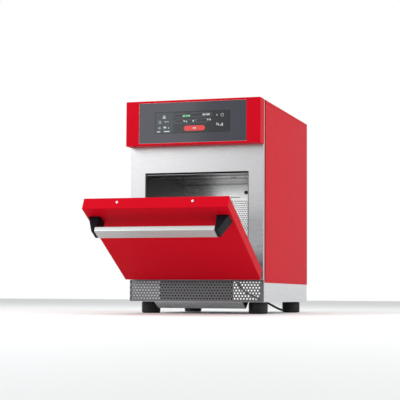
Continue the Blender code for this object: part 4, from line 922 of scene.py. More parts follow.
@dataclass
class SupplyCord:
    """The mains cord: its gland, its free length folded into a hank, its tie and its plug."""

    radius: float = 3.5 * MM
    lead: float = 7.0 * MM
    clear: float = 0.3 * MM
    lift: float = 0.1 * MM
    exit: tuple[float, float] = (-0.062, 0.112)
    hank_start: tuple[float, float] = (0.1228, 0.6556)
    heading: float = math.atan2(0.9732, -0.2301)
    run: float = 0.112
    fold: float = 0.021
    waist: float = 0.005
    layers: int = 4
    step: float = 0.0076
    arc_points: int = 8
    run_points: int = 4
    tail_reach: float = 0.062
    tail_shares: tuple[Point, ...] = ((0.30, 0.0, 0.10), (0.60, 0.35, 0.55), (0.85, 0.90, 0.95))
    plug_radius: float = 0.018
    plug_collar: float = 0.014
    plug_body: float = 0.030
    pin_radius: float = 0.0024
    pin_length: float = 0.019
    pin_spread: float = 0.0095
    route: tuple[Point, ...] = (
        (-0.062, 0.592, 0.1115), (-0.059, 0.606, 0.1080), (-0.052, 0.618, 0.0970),
        (-0.043, 0.624, 0.0840), (-0.033, 0.626, 0.0710), (-0.011, 0.629, 0.0560),
        (0.0125, 0.632, 0.0448), (0.0290, 0.635, 0.0367), (0.0455, 0.639, 0.0300),
        (0.0610, 0.643, 0.0214), (0.0770, 0.647, 0.0125), (0.0900, 0.6495, 0.0070),
    )

    def axes(self) -> tuple[Vector, Vector]:
        """Gives the hank's two level directions.

        Returns:
            Along its runs, and across them to the right.
        """
        ahead = Vector((math.cos(self.heading), math.sin(self.heading), 0.0))
        return ahead, Vector((ahead.y, -ahead.x, 0.0))

    def smooth(self, knots: Sequence[Vector], spacing: float) -> list[Vector]:
        """Puts even points on a smooth curve through some points.

        Args:
            knots: The points that the curve passes.
            spacing: The distance wanted between the new points.

        Returns:
            The new points.
        """
        ends = [2 * knots[0] - knots[1], *knots, 2 * knots[-1] - knots[-2]]
        fine = []
        for a, b, c, d in zip(ends, ends[1:], ends[2:], ends[3:]):
            for piece in range(12):
                t = piece / 12
                squared = (2 * a - 5 * b + 4 * c - d) * t**2
                cubed = (3 * b - a - 3 * c + d) * t**3
                fine.append((2 * b + (c - a) * t + squared + cubed) / 2)
        fine.append(ends[-2])
        walked = [0.0]
        for start, end in zip(fine, fine[1:]):
            walked.append(walked[-1] + (end - start).length)
        count = max(2, round(walked[-1] / spacing))
        points = []
        index = 0
        for stop in range(count + 1):
            target = walked[-1] * stop / count
            while index < len(fine) - 2 and walked[index + 1] < target:
                index += 1
            share = (target - walked[index]) / max(walked[index + 1] - walked[index], 1e-5)
            points.append(fine[index].lerp(fine[index + 1], share))
        return points

    def hank_line(self) -> list[Vector]:
        """Gives the centreline of the folded length, layer on layer.

        Returns:
            Its points.
        """
        ahead, right = self.axes()
        start = Vector((*self.hank_start, self.radius + self.lift))
        near = start + self.fold * ahead
        far = near + self.run * ahead
        points = [start - self.lead * right]

        def arc(centre: Vector, begin: float, end: float, count: int, layer: int) -> None:
            """Adds one bend."""
            for stop in range(count):
                turn = begin + (end - begin) * stop / count
                spot = centre + self.fold * (math.sin(turn) * ahead + math.cos(turn) * right)
                points.append(spot + Vector((0, 0, layer * self.step)))

        def stretch(begin: Vector, end: Vector, side: int, layer: int, climbs: bool) -> None:
            """Adds one straight run, drawn in at its middle by the tie."""
            for stop in range(self.run_points):
                share = stop / self.run_points
                drawn = self.waist * math.sin(math.pi * share) ** 2
                rise = layer + (share if climbs else 0)
                spot = begin.lerp(end, share) + side * (self.fold - drawn) * right
                points.append(spot + Vector((0, 0, rise * self.step)))

        half_arc = self.arc_points // 2
        for layer in range(self.layers):
            arc(near, -math.pi / 2, 0.0, half_arc, layer)
            stretch(near, far, 1, layer, False)
            arc(far, 0.0, math.pi, self.arc_points, layer)
            if layer < self.layers - 1:
                stretch(far, near, -1, layer, True)
                arc(near, math.pi, 3 * math.pi / 2, half_arc, layer + 1)
        points.append(far - self.fold * right + Vector((0, 0, (self.layers - 1) * self.step)))
        return points

    def centreline(self) -> tuple[list[Vector], Vector]:
        """Gives the whole cord's centreline in the oven's own front-plane frame.

        Returns:
            Its points, and where it enters the plug.
        """
        ahead, right = self.axes()
        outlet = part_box("cable_gland")[1][1] - FRONT + self.clear
        start = Vector((self.exit[0], outlet, self.exit[1]))
        lead = start + Vector((0, self.lead, 0))
        line = self.hank_line()
        before = line[0] - (self.lead + self.clear) * right
        meet = line[0] - self.clear * right
        body = self.smooth([lead, *[Vector(point) for point in self.route], before], 16 * MM)
        crest = self.lift + self.radius + (self.layers - 1) * self.step
        entry = line[-1] + self.fold * right - (self.tail_reach + self.lead) * ahead
        entry.z = crest + self.radius + self.clear + self.plug_radius
        bend = entry + self.lead * ahead
        leap = bend - line[-1]
        along = Vector((leap.x, leap.y, 0)).project(ahead)
        across = Vector((leap.x, leap.y, 0)) - along
        up = Vector((0, 0, leap.z))
        shares = [line[-1] + a * along + b * across + c * up for a, b, c in self.tail_shares]
        tail = self.smooth([line[-1], *shares, bend], 8 * MM)
        points = [start, *body, meet, *line[:-1], *tail, entry + self.clear * ahead]
        return points, entry

    def make_cord(self, points: Sequence[Vector]) -> None:
        """Lays the cord as one open curve.

        Args:
            points: The points that it passes.
        """
        shift = Vector((0, FRONT, 0))
        fine = self.smooth(list(points), 2.5 * MM)
        data = bpy.data.curves.new("supply_cord", "CURVE")
        data.dimensions = "3D"
        data.bevel_depth = self.radius
        data.bevel_resolution = 3
        data.use_fill_caps = True
        spline = data.splines.new("POLY")
        spline.points.add(len(fine) - 1)
        for spot, knot in zip(fine, spline.points):
            knot.co = (*(spot + shift), 1.0)
        spline.use_smooth = True
        data.materials.append(CORD_VINYL.material())
        cord = bpy.data.objects.new("supply_cord", data)
        bpy.context.scene.collection.objects.link(cord)
        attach(cord, Body.OVEN.value)
        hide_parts("cord_run", "cord_hank")

    def make_plug(self, entry: Vector) -> bpy.types.Object:
        """Moulds the plug with its tapered boot, grip ribs and two pins.

        Args:
            entry: Where the cord enters it.

        Returns:
            The plug.
        """
        radius, boot = self.plug_radius / MM, self.plug_collar / MM
        whole = boot + self.plug_body / MM
        profile = [(0.0, 0.0), (5.4, 0.0), (6.2, 1.0)]
        for rib in range(4):
            base, wide = 2.0 + rib * 2.6, 6.4 + rib * 1.4
            profile += [(wide, base), (wide, base + 1.4), (wide - 0.8, base + 1.7)]
        profile += [(radius - 3.5, boot - 1.0), (radius - 1.2, boot + 1.2), (radius, boot + 4.0)]
        for rib in range(4):
            base = boot + 7.0 + rib * 3.0
            profile += [(radius, base), (radius - 0.7, base + 0.5), (radius - 0.7, base + 1.5),
                        (radius, base + 2.0)]
        profile += [(radius, whole - 3.0), (radius - 1.0, whole - 0.6), (radius - 2.2, whole),
                    (0.0, whole)]
        parts = [lathe(in_mm(profile), 36)]
        turn = Matrix.Rotation(self.heading - math.pi / 2, 3, "Z") @ QUARTER_X
        pin, tip = self.pin_radius / MM, whole + self.pin_length / MM
        shank = in_mm([(0.0, whole - 1.0), (pin, whole - 1.0), (pin, tip - 1.5), (pin * 0.6, tip),
                       (0.0, tip)])
        for side in (-1, 1):
            parts.append(moved(lathe(shank, 16), (side * self.pin_spread, 0.0, 0.0)))
        plug = moved(joined(parts), entry + Vector((0, FRONT, 0)), turn)
        return place(plug, "mains_plug", CORD_VINYL, "black_plastic", ["plug"])

    def make_gland(self) -> None:
        """Turns the gland: a flange, a hexagonal cap and a ribbed, tapered relief."""
        low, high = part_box("cable_gland")
        stem = 6.0
        reach = (high[1] - low[1]) / MM - stem
        profile = [(0.0, -stem), (7.0, -stem), (7.0, 0.0), (10.0, 0.0), (10.0, 3.4), (9.2, 4.0),
                   (8.6, 8.0)]
        for rib in range(5):
            base, wide = 8.6 + rib * 3.0, 7.6 - rib * 0.55
            profile += [(wide, base), (wide, base + 1.5), (wide - 0.9, base + 1.9),
                        (wide - 0.9, base + 2.7)]
        profile += [(4.6, reach), (0.0, reach)]
        nut = moved(slab(ring_points(9.8 * MM, 6), 5.0 * MM), (0, 0, 3.6 * MM))
        gland = joined([lathe(in_mm(profile), 28), soften(nut, 0.5 * MM, 2)])
        seat = (self.exit[0], low[1] + stem * MM, self.exit[1])
        place(moved(gland, seat, Matrix.Rotation(-math.pi / 2, 3, "X")), "cord_gland", BLACK_NYLON,
              "black_plastic", ["cable_gland"])

    def make_tie(self) -> bpy.types.Object:
        """Wraps the strap that holds the hank at its waist.

        Returns:
            The strap.
        """
        ahead, right = self.axes()
        middle = Vector((*self.hank_start, 0.0)) + (self.fold + self.run / 2) * ahead
        middle += Vector((0, FRONT, 0))
        half = self.fold - self.waist + self.radius + 0.4 * MM
        low = 0.15 * MM
        high = self.lift + 2 * self.radius + (self.layers - 1) * self.step + 0.5 * MM
        shape = block((-half, -7 * MM, low), (half, 7 * MM, high))
        open_faces(shape, lambda face: abs(face.normal.y) > 0.5)
        soften(shape, 6 * MM, 4, lambda edge: len(edge.link_faces) == 2)
        thicken(shape, 0.6 * MM)
        turn = Matrix.Rotation(self.heading - math.pi / 2, 3, "Z")
        strap = moved(shape, middle, turn)
        return place(strap, "hank_tie", BLACK_RUBBER, "black_plastic")

    def build(self) -> None:
        """Makes the cord with all that is on it."""
        points, entry = self.centreline()
        plug = self.make_plug(entry)
        tie = self.make_tie()
        self.make_gland()
        self.make_cord(points)


@dataclass
class Casing:
    """The outer shell: side sheets, top tray, steel front, plinth, rear sheet and feet."""

    bend: float = 1.2 * MM
    lip: float = 8.0 * MM
    gap: float = 0.5 * MM

    def make_sides(self) -> None:
        """Folds the two red side sheets, which stop below the lip of the top tray."""
        for word in ("left", "right"):
            low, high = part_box(f"{word}_side_panel")
            sheet = block(low, (high[0], high[1], high[2] - self.lip - self.gap))
            soften(sheet, 0.5 * MM, 2)
            place(sheet, f"{word}_side_sheet", RED_COAT, "casing_red", [f"{word}_side_panel"])

    def make_top(self) -> None:
        """Folds the red top tray, whose lips cover the heads of the side sheets."""
        low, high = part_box("top_panel")
        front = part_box("right_side_panel")[0][1]
        skin = high[2] - low[2]
        tray = block((-HALF, front, high[2] - self.lip), (HALF, high[1], high[2]))
        open_faces(tray, lambda face: face.normal.z < -0.5 or abs(face.normal.y) > 0.5)
        soften(tray, self.bend, 3, lambda edge: len(edge.link_faces) == 2)
        thicken(tray, skin * 0.85)
        strip = block(low, (high[0], front + 2 * MM, high[2] - 0.1 * MM))
        whole = joined([tray, soften(strip, 0.3 * MM, 1)])
        place(whole, "top_tray", RED_COAT, "casing_red", ["top_panel"])

    def make_front(self) -> None:
        """Rounds the outer bends of the steel front."""
        low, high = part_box("front_frame")
        shape = copy_of("front_frame")

        def outer_bend(edge: bmesh.types.BMEdge) -> bool:
            """Picks the two tall outer bends."""
            first, second = (vert.co for vert in edge.verts)
            return (
                is_sharp(edge) and abs(first.z - second.z) > 0.1
                and abs(first.y - low[1]) < 0.2 * MM and abs(first.x) > high[0] - 0.2 * MM
            )

        soften(shape, self.bend, 3, outer_bend)
        place(shape, "steel_front", FRONT_STEEL, "front_steel", ["front_frame"])

    def make_feet(self) -> None:
        """Moulds the four rubber feet with a rounded sole and a recess for the screw."""
        for row in ("front", "rear"):
            for hand in ("left", "right"):
                low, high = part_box(f"foot_{row}_{hand}")
                radius, tall = (high[0] - low[0]) / 2 / MM, high[2] / MM
                profile = in_mm([
                    (0.0, 2.5), (5.0, 2.5), (6.5, 0.3), (radius - 5.5, 0.0), (radius - 3.4, 0.35),
                    (radius - 1.6, 1.5), (radius - 0.5, 3.2), (radius - 0.1, 5.5),
                    (radius, tall - 4.0), (radius - 0.4, tall - 2.2), (radius - 1.4, tall - 0.8),
                    (radius - 3.0, tall), (0.0, tall),
                ])
                centre = ((low[0] + high[0]) / 2, (low[1] + high[1]) / 2, 0.0)
                place(moved(lathe(profile, 40), centre), f"rubber_foot_{row}_{hand}", BLACK_RUBBER,
                      "rubber_black", [f"foot_{row}_{hand}"])

    def make_screws(self) -> None:
        """Sets the screws of the rear sheet."""
        low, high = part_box("rear_panel")
        heads = []
        for x in (low[0] + 12 * MM, 0.0, high[0] - 12 * MM):
            for z in (low[2] + 12 * MM, 0.35, high[2] - 12 * MM):
                if x == 0.0 and z == 0.35:
                    continue
                profile = in_mm([(0.0, 1.6), (1.6, 1.6), (3.0, 1.1), (3.7, 0.0), (0.0, 0.0)])
                heads.append(moved(lathe(profile, 16), (x, high[1] - 0.1 * MM, z),
                                   Matrix.Rotation(-math.pi / 2, 3, "X")))
        place(joined(heads), "rear_screws", FIXING_STEEL, "motor_metal")

    def build(self) -> None:
        """Makes the shell."""
        self.make_sides()
        self.make_top()
        self.make_front()
        self.make_feet()
        self.make_screws()
        dress(PLINTH_STEEL, "base_pan")
        dress(CHASSIS_ZINC, "deck", "upper_deck", "rear_panel")


class Perforator:
    """Punches a staggered field of round holes in a flat sheet, cell by cell."""

    def __init__(self, pitch: float, rise: float) -> None:
        """Sets the pattern.

        Args:
            pitch: The distance between holes in a row.
            rise: The distance between rows.
        """
        self.pitch = pitch
        self.rise = rise

    def outline(self) -> Outline:
        """Gives the outline of one cell, whose points fall on those of the next rows.

        Returns:
            Twelve points.
        """
        wide = self.pitch / 2
        tall = self.rise / 2
        quarter = [(wide, 0.0), (wide, tall), (wide / 2, tall)]
        return [
            *quarter, (0.0, tall), *[(-x, z) for x, z in reversed(quarter[1:])],
            (-wide, 0.0), *[(-x, -z) for x, z in quarter[1:]], (0.0, -tall),
            *[(x, -z) for x, z in reversed(quarter[1:])],
        ]

    def cell(self, radius: float) -> bpy.types.Mesh:
        """Makes one cell, with or without its hole.

        Args:
            radius: The hole's radius, or 0 for a plain cell.

        Returns:
            The cell as a mesh in XY.
        """
        shape = bmesh.new()
        outer = [shape.verts.new((x, y, 0.0)) for x, y in self.outline()]
        if radius:
            rims = [shape.edges.new(pair) for pair in zip(outer, outer[1:] + outer[:1])]
            made = bmesh.ops.create_circle(shape, radius=radius, segments=HOLE_SIDES)
            hole = [edge for edge in shape.edges if edge.verts[0] in made["verts"]]
            bmesh.ops.rotate(shape, cent=(0, 0, 0), matrix=Matrix.Rotation(math.pi / 2, 3, "Z"),
                             verts=made["verts"])
            bmesh.ops.bridge_loops(shape, edges=[*rims, *hole])
        else:
            bmesh.ops.contextual_create(shape, geom=outer)
        for face in shape.faces:
            if face.normal.z < 0:
                face.normal_flip()
        mesh = bpy.data.meshes.new("cell")
        shape.to_mesh(mesh)
        shape.free()
        return mesh

    def sheet(self, columns: int, rows: int, centre: tuple[float, float], low: tuple[float, float],
              high: tuple[float, float], thickness: float,
              radius_at: Callable[[float, float], float]) -> Shape:
        """Makes the whole sheet in XZ, with its front towards -Y.

        Args:
            columns: Cells in a row.
            rows: The number of rows.
            centre: The middle of the field, as X and Z.
            low: The sheet's lowest X and Z.
            high: The sheet's highest X and Z.
            thickness: How thick it is.
            radius_at: Gives the radius of the hole at X and Z, or 0 for none.

        Returns:
            The sheet, from 0 to its thickness along Y.
        """
        shape = bmesh.new()
        meshes: dict[float, bpy.types.Mesh] = {}
        for row in range(rows):
            shift = self.pitch / 4 * (1 if row % 2 else -1)
            for column in range(columns):
                x = centre[0] + (column - (columns - 1) / 2) * self.pitch + shift
                z = centre[1] + (row - (rows - 1) / 2) * self.rise
                radius = radius_at(x, z)
                if radius not in meshes:
                    meshes[radius] = self.cell(radius)
                first = len(shape.verts)
                shape.from_mesh(meshes[radius])
                shape.verts.ensure_lookup_table()
                bmesh.ops.translate(shape, vec=(x, z, 0.0), verts=shape.verts[first:])
        bmesh.ops.remove_doubles(shape, verts=shape.verts, dist=0.02 * MM)
        rim = [edge for edge in shape.edges
               if edge.is_boundary and self.outside(edge, centre, columns, rows)]
        made = bmesh.ops.extrude_edge_only(shape, edges=rim)
        wide = (columns / 2 - 0.3) * self.pitch
        tall = (rows / 2) * self.rise - 0.05 * MM
        for part in new_points(made):
            x, z = part.co.x - centre[0], part.co.y - centre[1]
            if abs(x) >= wide:
                part.co.x = high[0] if x > 0 else low[0]
            if abs(z) >= tall:
                part.co.y = high[1] if z > 0 else low[1]
        bmesh.ops.remove_doubles(shape, verts=shape.verts, dist=0.02 * MM)
        bmesh.ops.dissolve_degenerate(shape, dist=0.01 * MM, edges=shape.edges)
        bmesh.ops.recalc_face_normals(shape, faces=shape.faces)
        if sum(face.normal.z * face.calc_area() for face in shape.faces) < 0:
            bmesh.ops.reverse_faces(shape, faces=shape.faces)
        thicken(shape, thickness)
        bmesh.ops.rotate(shape, cent=(0, 0, 0), matrix=QUARTER_X, verts=shape.verts)
        for mesh in meshes.values():
            bpy.data.meshes.remove(mesh)
        return shape

    def outside(self, edge: bmesh.types.BMEdge, centre: tuple[float, float], columns: int,
                rows: int) -> bool:
        """Says whether a boundary edge is on the rim of the field and not round a hole."""
        middle = (edge.verts[0].co + edge.verts[1].co) / 2
        wide = abs(middle.x - centre[0]) > (columns / 2 - 0.45) * self.pitch
        tall = abs(middle.y - centre[1]) > (rows / 2) * self.rise - 0.05 * MM
        return wide or tall


@dataclass
class AirPath:
    """The perforated grille, the pleated filter behind it and the baffle under it."""

    pitch: float = 9.0 * MM
    rise: float = 7.8 * MM
    hole: float = 2.6 * MM
    plain_from: float = 187.0 * MM
    columns: int = 43
    rows: int = 7
    above_middle: float = 1.2 * MM
    pleats: int = 36

    def make_grille(self) -> None:
        """Punches the grille."""
        low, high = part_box("grille")
        middle = (0.0, (low[2] + high[2]) / 2 + self.above_middle)
        sheet = Perforator(self.pitch, self.rise).sheet(
            self.columns, self.rows, middle, (low[0], low[2]), (high[0], high[2]),
            high[1] - low[1], lambda x, z: self.hole if x < self.plain_from else 0.0,
        )
        shift = low[1] - min(vert.co.y for vert in sheet.verts)
        place(moved(sheet, (0, shift, 0)), "air_grille", GRILLE_STEEL, "grille_steel", ["grille"],
              flat=True)

    def make_filter(self) -> None:
        """Folds the pleated filter in its frame."""
        low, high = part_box("filter_cassette")
        wide = (high[0] - low[0]) / 2
        rim = block(low, high)
        open_faces(rim, lambda face: abs(face.normal.y) > 0.5)
        thicken(rim, 1.2 * MM)
        step = 2 * (wide - 2 * MM) / self.pleats
        folds = [
            (-wide + 2 * MM + index * step, low[1] + (2.2 * MM if index % 2 else 7.2 * MM),
             low[2] + 1.5 * MM)
            for index in range(self.pleats + 1)
        ]
        shape = swept(folds, (0, 0, high[2] - low[2] - 3 * MM))
        thicken(shape, 0.5 * MM)
        place(joined([rim, shape]), "pleated_filter", FILTER_MESH, "grille_steel",
              ["filter_cassette"], flat=True)

    def make_baffle(self) -> None:
        """Closes the ends of the bent baffle under the plinth with a cheek each."""
        low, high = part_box("air_baffle")
        parts = [copy_of("air_baffle")]
        crest = FRONT + 60 * MM
        outline = [(low[1] + 3.0 * MM, high[2]), (crest, low[2] + 1.4 * MM),
                   (high[1] - 3.0 * MM, high[2])]
        for side in (-1, 1):
            cheek = moved(slab(outline, 1.0 * MM), (0, 0, 0),
                          Matrix(((0, 0, 1), (1, 0, 0), (0, 1, 0))))
            reach = high[0] - 1.0 * MM if side > 0 else low[0]
            parts.append(moved(cheek, (reach, 0, 0)))
        place(joined(parts), "bent_baffle", BAFFLE_ZINC, "grille_steel", ["air_baffle"])

    def build(self) -> None:
        """Makes the air path."""
        self.make_grille()
        self.make_filter()
        self.make_baffle()


@dataclass
class Fascia:
    """The red control housing with its lining, printed glass, display and lit marks."""

    corner: float = 2.6 * MM
    wall: float = 2.5 * MM
    recess: float = 1.2 * MM

    def make_housing(self) -> None:
        """Folds the housing, with a rounded corner at each end and the glass opening."""
        low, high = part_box("fascia_housing")
        glass_low, glass_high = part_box("control_glass")
        shape = block(low, high)
        open_faces(shape, lambda face: face.normal.y > 0.5)

        def upright(edge: bmesh.types.BMEdge) -> bool:
            """Picks the two upright corners."""
            return is_sharp(edge) and abs(edge.verts[0].co.z - edge.verts[1].co.z) > 10 * MM

        soften(shape, self.corner, 4, upright)
        soften(shape, 0.9 * MM, 2, lambda edge: is_sharp(edge) and not upright(edge))
        for axis in (0, 2):
            cut(shape, axis, (glass_low[axis] - 0.3 * MM, glass_high[axis] + 0.3 * MM))
        opening = [
            face for face in shape.faces
            if face.normal.y < -0.9 and abs(face.calc_center_median().x) < glass_high[0]
            and glass_low[2] < face.calc_center_median().z < glass_high[2]
        ]
        bmesh.ops.delete(shape, geom=opening, context="FACES")
        thicken(shape, self.wall)
        place(shape, "red_fascia", RED_COAT, "casing_red", ["fascia_housing"])

    def make_glass(self) -> None:
        """Cuts the printed glass round the display, and lines its opening."""
        low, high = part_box("control_glass")
        screen_low, screen_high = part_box("display_module")
        front = low[1] + self.recess
        back = high[1] - 0.2 * MM
        shape = block((low[0], front, low[2]), (high[0], back, high[2]))
        for axis in (0, 2):
            cut(shape, axis, (screen_low[axis], screen_high[axis]))
        window = [
            face for face in shape.faces
            if abs(face.normal.y) > 0.9
            and screen_low[0] < face.calc_center_median().x < screen_high[0]
            and screen_low[2] < face.calc_center_median().z < screen_high[2]
        ]
        hole_through(shape, window)
        place(shape, "printed_glass", CONTROL_GLASS, "control_glass", ["control_glass"])
        grow = 0.28 * MM
        edge = low[1] + 0.15 * MM
        # Pale strips on the left, top and bottom only, as painted highlight on the lit edges of the
        # recess; the right edge, in shade, has none.
        lining = [
            block((low[0] - grow, edge, low[2] - grow),
                  (low[0] - 0.04 * MM, high[1], high[2] + grow)),
            block((low[0], edge, high[2] + 0.04 * MM), (high[0], high[1], high[2] + grow)),
            block((low[0], edge, low[2] - grow), (high[0], high[1], low[2] - 0.04 * MM)),
        ]
        place(joined(lining), "glass_lining", PALE_LINING, "front_steel")

    def make_display(self) -> None:
        """Sets the display in the glass, with its lighter left field."""
        low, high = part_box("display_module")
        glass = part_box("control_glass")[0][1] + self.recess
        edge = 0.35 * MM
        panel = block((low[0] + edge, glass + 0.1 * MM, low[2] + edge),
                      (high[0] - edge, high[1], high[2] - edge))
        place(panel, "display_panel", DISPLAY_PANEL, "screen", ["display_module"])
        face = glass + 0.1 * MM
        field = block((low[0] + 2 * MM, face - 0.05 * MM, low[2] + 2.5 * MM),
                      (-56.5 * MM, face + 0.3 * MM, high[2] - 2 * MM))
        place(field, "display_field", DISPLAY_FIELD, "screen")

    def mark(self, outline: Outline, x: float, z: float, face: float, hollow: float = 0.0) -> Shape:
        """Makes one thin mark on the display.

        Args:
            outline: Its outline about its own middle.
            x: Its place across.
            z: Its height.
            face: The plane of the display.
            hollow: The width of its line, or 0 for a filled mark.

        Returns:
            The mark.
        """
        shape = slab(outline, 0.16 * MM)
        if hollow:
            caps = [part for part in shape.faces if abs(part.normal.z) > 0.5]
            bmesh.ops.inset_region(shape, faces=caps, thickness=hollow, use_even_offset=True)
            hole_through(shape, [part for part in caps if part.is_valid])
        return moved(shape, (x, face, z), QUARTER_X)

    def make_marks(self) -> None:
        """Draws the generic lit marks: rings, bars, value blocks and the start button."""
        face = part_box("control_glass")[0][1] + self.recess + 0.05 * MM
        bar = [(-1.0, -1.0), (1.0, -1.0), (1.0, 1.0), (-1.0, 1.0)]

        def sized(wide: float, tall: float) -> Outline:
            """Gives a bar of a size in millimetres."""
            return [(x * wide * MM / 2, y * tall * MM / 2) for x, y in bar]

        def circle(radius: float) -> Outline:
            """Gives a circle of a radius in millimetres."""
            return ring_points(radius * MM, 18)

        white, grey, green = [], [], []
        for x, z, radius in (
            (-97.0, 545.0, 4.0), (-98.0, 528.0, 3.0), (89.0, 560.5, 4.6), (73.0, 560.5, 2.2),
        ):
            white.append(self.mark(circle(radius), x * MM, z * MM, face, 1.0 * MM))
        for x, z, wide, tall in (
            (-84, 562.5, 5, 3), (-84, 557.5, 9, 4), (-80, 546, 5, 2.4), (-73, 546, 3, 2.4),
            (-82, 529.5, 8, 5), (-71, 528, 3, 3), (-101, 517.5, 10, 3), (-76, 518, 17, 3.4),
            (35, 563, 9, 4.4), (47, 563, 10, 4.4), (-24, 546, 4, 4.6), (-17.5, 544.5, 4, 4.6),
            (3, 546, 4, 4.6), (10.5, 548, 2, 2), (46, 548.5, 4, 4.8), (53, 548, 4, 4.8),
            (73, 535, 3, 6), (78, 533, 3, 6), (89, 533, 4, 8), (86, 531, 6, 3),
        ):
            white.append(self.mark(sized(wide, tall), x * MM, z * MM, face))
        for x, z, half in (
            (-35, 562, 13), (26, 563, 28), (-40, 545.5, 9), (-4, 545.5, 9), (28, 546.5, 12),
        ):
            grey.append(self.mark(pill(half * MM, 5.5 * MM), x * MM, z * MM, face, 0.7 * MM))
        for x, wide in ((-25, 6), (-17, 5), (-10, 6)):
            green.append(self.mark(sized(wide, 5.0), x * MM, 561 * MM, face))
        start = self.mark(pill(24.0 * MM, 7.4 * MM, 10), 6.5 * MM, 525.3 * MM, face)
        inner = self.mark(sized(9.0, 3.6), 6.5 * MM, 525.3 * MM, face - 0.15 * MM)
        for shape, name, finish in (
            (joined(white), "display_white_marks", WHITE_MARK),
            (joined(grey), "display_grey_marks", GREY_MARK),
            (joined(green), "display_green_marks", GREEN_MARK),
            (start, "start_button", RED_MARK),
            (inner, "start_mark", WHITE_MARK),
        ):
            place(shape, name, finish, "screen", flat=True)

    def make_bumper(self) -> None:
        """Moulds the small rubber stop under the housing."""
        low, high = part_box("fascia_bumper")
        radius = (high[0] - low[0]) / 2
        profile = [(0.0, low[2]), (radius * 0.7, low[2]), (radius, low[2] + 0.7 * MM),
                   (radius, high[2]), (0.0, high[2])]
        stop = moved(lathe(profile, 20), ((low[0] + high[0]) / 2, (low[1] + high[1]) / 2, 0))
        place(stop, "rubber_stop", BLACK_RUBBER, "rubber_black", ["fascia_bumper"])

    def build(self) -> None:
        """Makes the fascia."""
        self.make_housing()
        self.make_glass()
        self.make_display()
        self.make_marks()
        self.make_bumper()
        dress(BOARD, "control_board")


@dataclass
class Door:
    """The drop-down door: folded outer tray, inner sheet, choke, seal, screws and hinges."""

    proud: float = 43.2 * MM
    depth: float = 32.0 * MM
    bottom: float = 97.5 * MM
    top: float = 474.8 * MM
    sheet: float = 1.5 * MM
    bend: float = 1.6 * MM
    slot_half: float = 3.6 * MM
    hinge_x: float = 186.0 * MM

    def front(self) -> float:
        """Gives the plane of the closed door's outer face."""
        return FRONT - self.proud

    def make_outer(self) -> None:
        """Folds the red outer tray, with a slot in its foot for each hinge arm."""
        front = self.front()
        back = front + self.depth
        shape = block((-HALF, front, self.bottom), (HALF, back, self.top))
        open_faces(shape, lambda face: face.normal.y > 0.5)
        soften(shape, self.bend, 4)
        cut(shape, 0, [side * (self.hinge_x + way * self.slot_half)
                       for side in (-1, 1) for way in (-1, 1)])
        slots = [
            face for face in shape.faces
            if face.normal.z < -0.9
            and abs(abs(face.calc_center_median().x) - self.hinge_x) < self.slot_half
        ]
        bmesh.ops.delete(shape, geom=slots, context="FACES")
        thicken(shape, self.sheet)
        place(shape, "red_door", RED_COAT, "casing_red", ["door_outer_panel"],
              body=Body.DOOR, swing=True)

    def make_inner(self) -> None:
        """Copies the inner sheet as it is, and rounds the rims of the choke."""
        panel = copy_of("door_inner_panel")
        place(panel, "door_inner_sheet", DOOR_STEEL, "front_steel", ["door_inner_panel"],
              body=Body.DOOR)
        choke = soften(copy_of("door_choke"), 1.2 * MM, 2)
        place(choke, "door_choke_frame", DOOR_STEEL, "choke_metal", ["door_choke"],
              body=Body.DOOR)

    def make_screws(self) -> None:
        """Turns the two screws in the door's head, each with a round socket."""
        for word in ("left", "right"):
            low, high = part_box(f"door_screw_{word}")
            centre = SWUNG.inverted() @ ((Vector(low) + Vector(high)) / 2)
            head = centre.z / MM + 3.7
            profile = in_mm([(0.0, head - 1.0), (1.3, head - 1.0), (1.3, head), (2.0, head),
                             (3.1, head - 0.4), (3.6, head - 1.4), (1.8, head - 1.4),
                             (1.8, head - 7.0), (0.0, head - 7.0)])
            screw = moved(lathe(profile, 24), (centre.x, centre.y, 0.0))
            place(screw, f"head_screw_{word}", FIXING_STEEL, "motor_metal",
                  [f"door_screw_{word}"], body=Body.DOOR, swing=True)

    def build(self) -> None:
        """Makes the door."""
        self.make_outer()
        self.make_inner()
        self.make_screws()
        dress(WOOL, "door_insulation")
        dress(GREY_SILICONE, "door_seal")
        for word in ("left", "right"):
            dress(FIXING_STEEL, f"hinge_arm_{word}", f"hinge_pin_{word}")


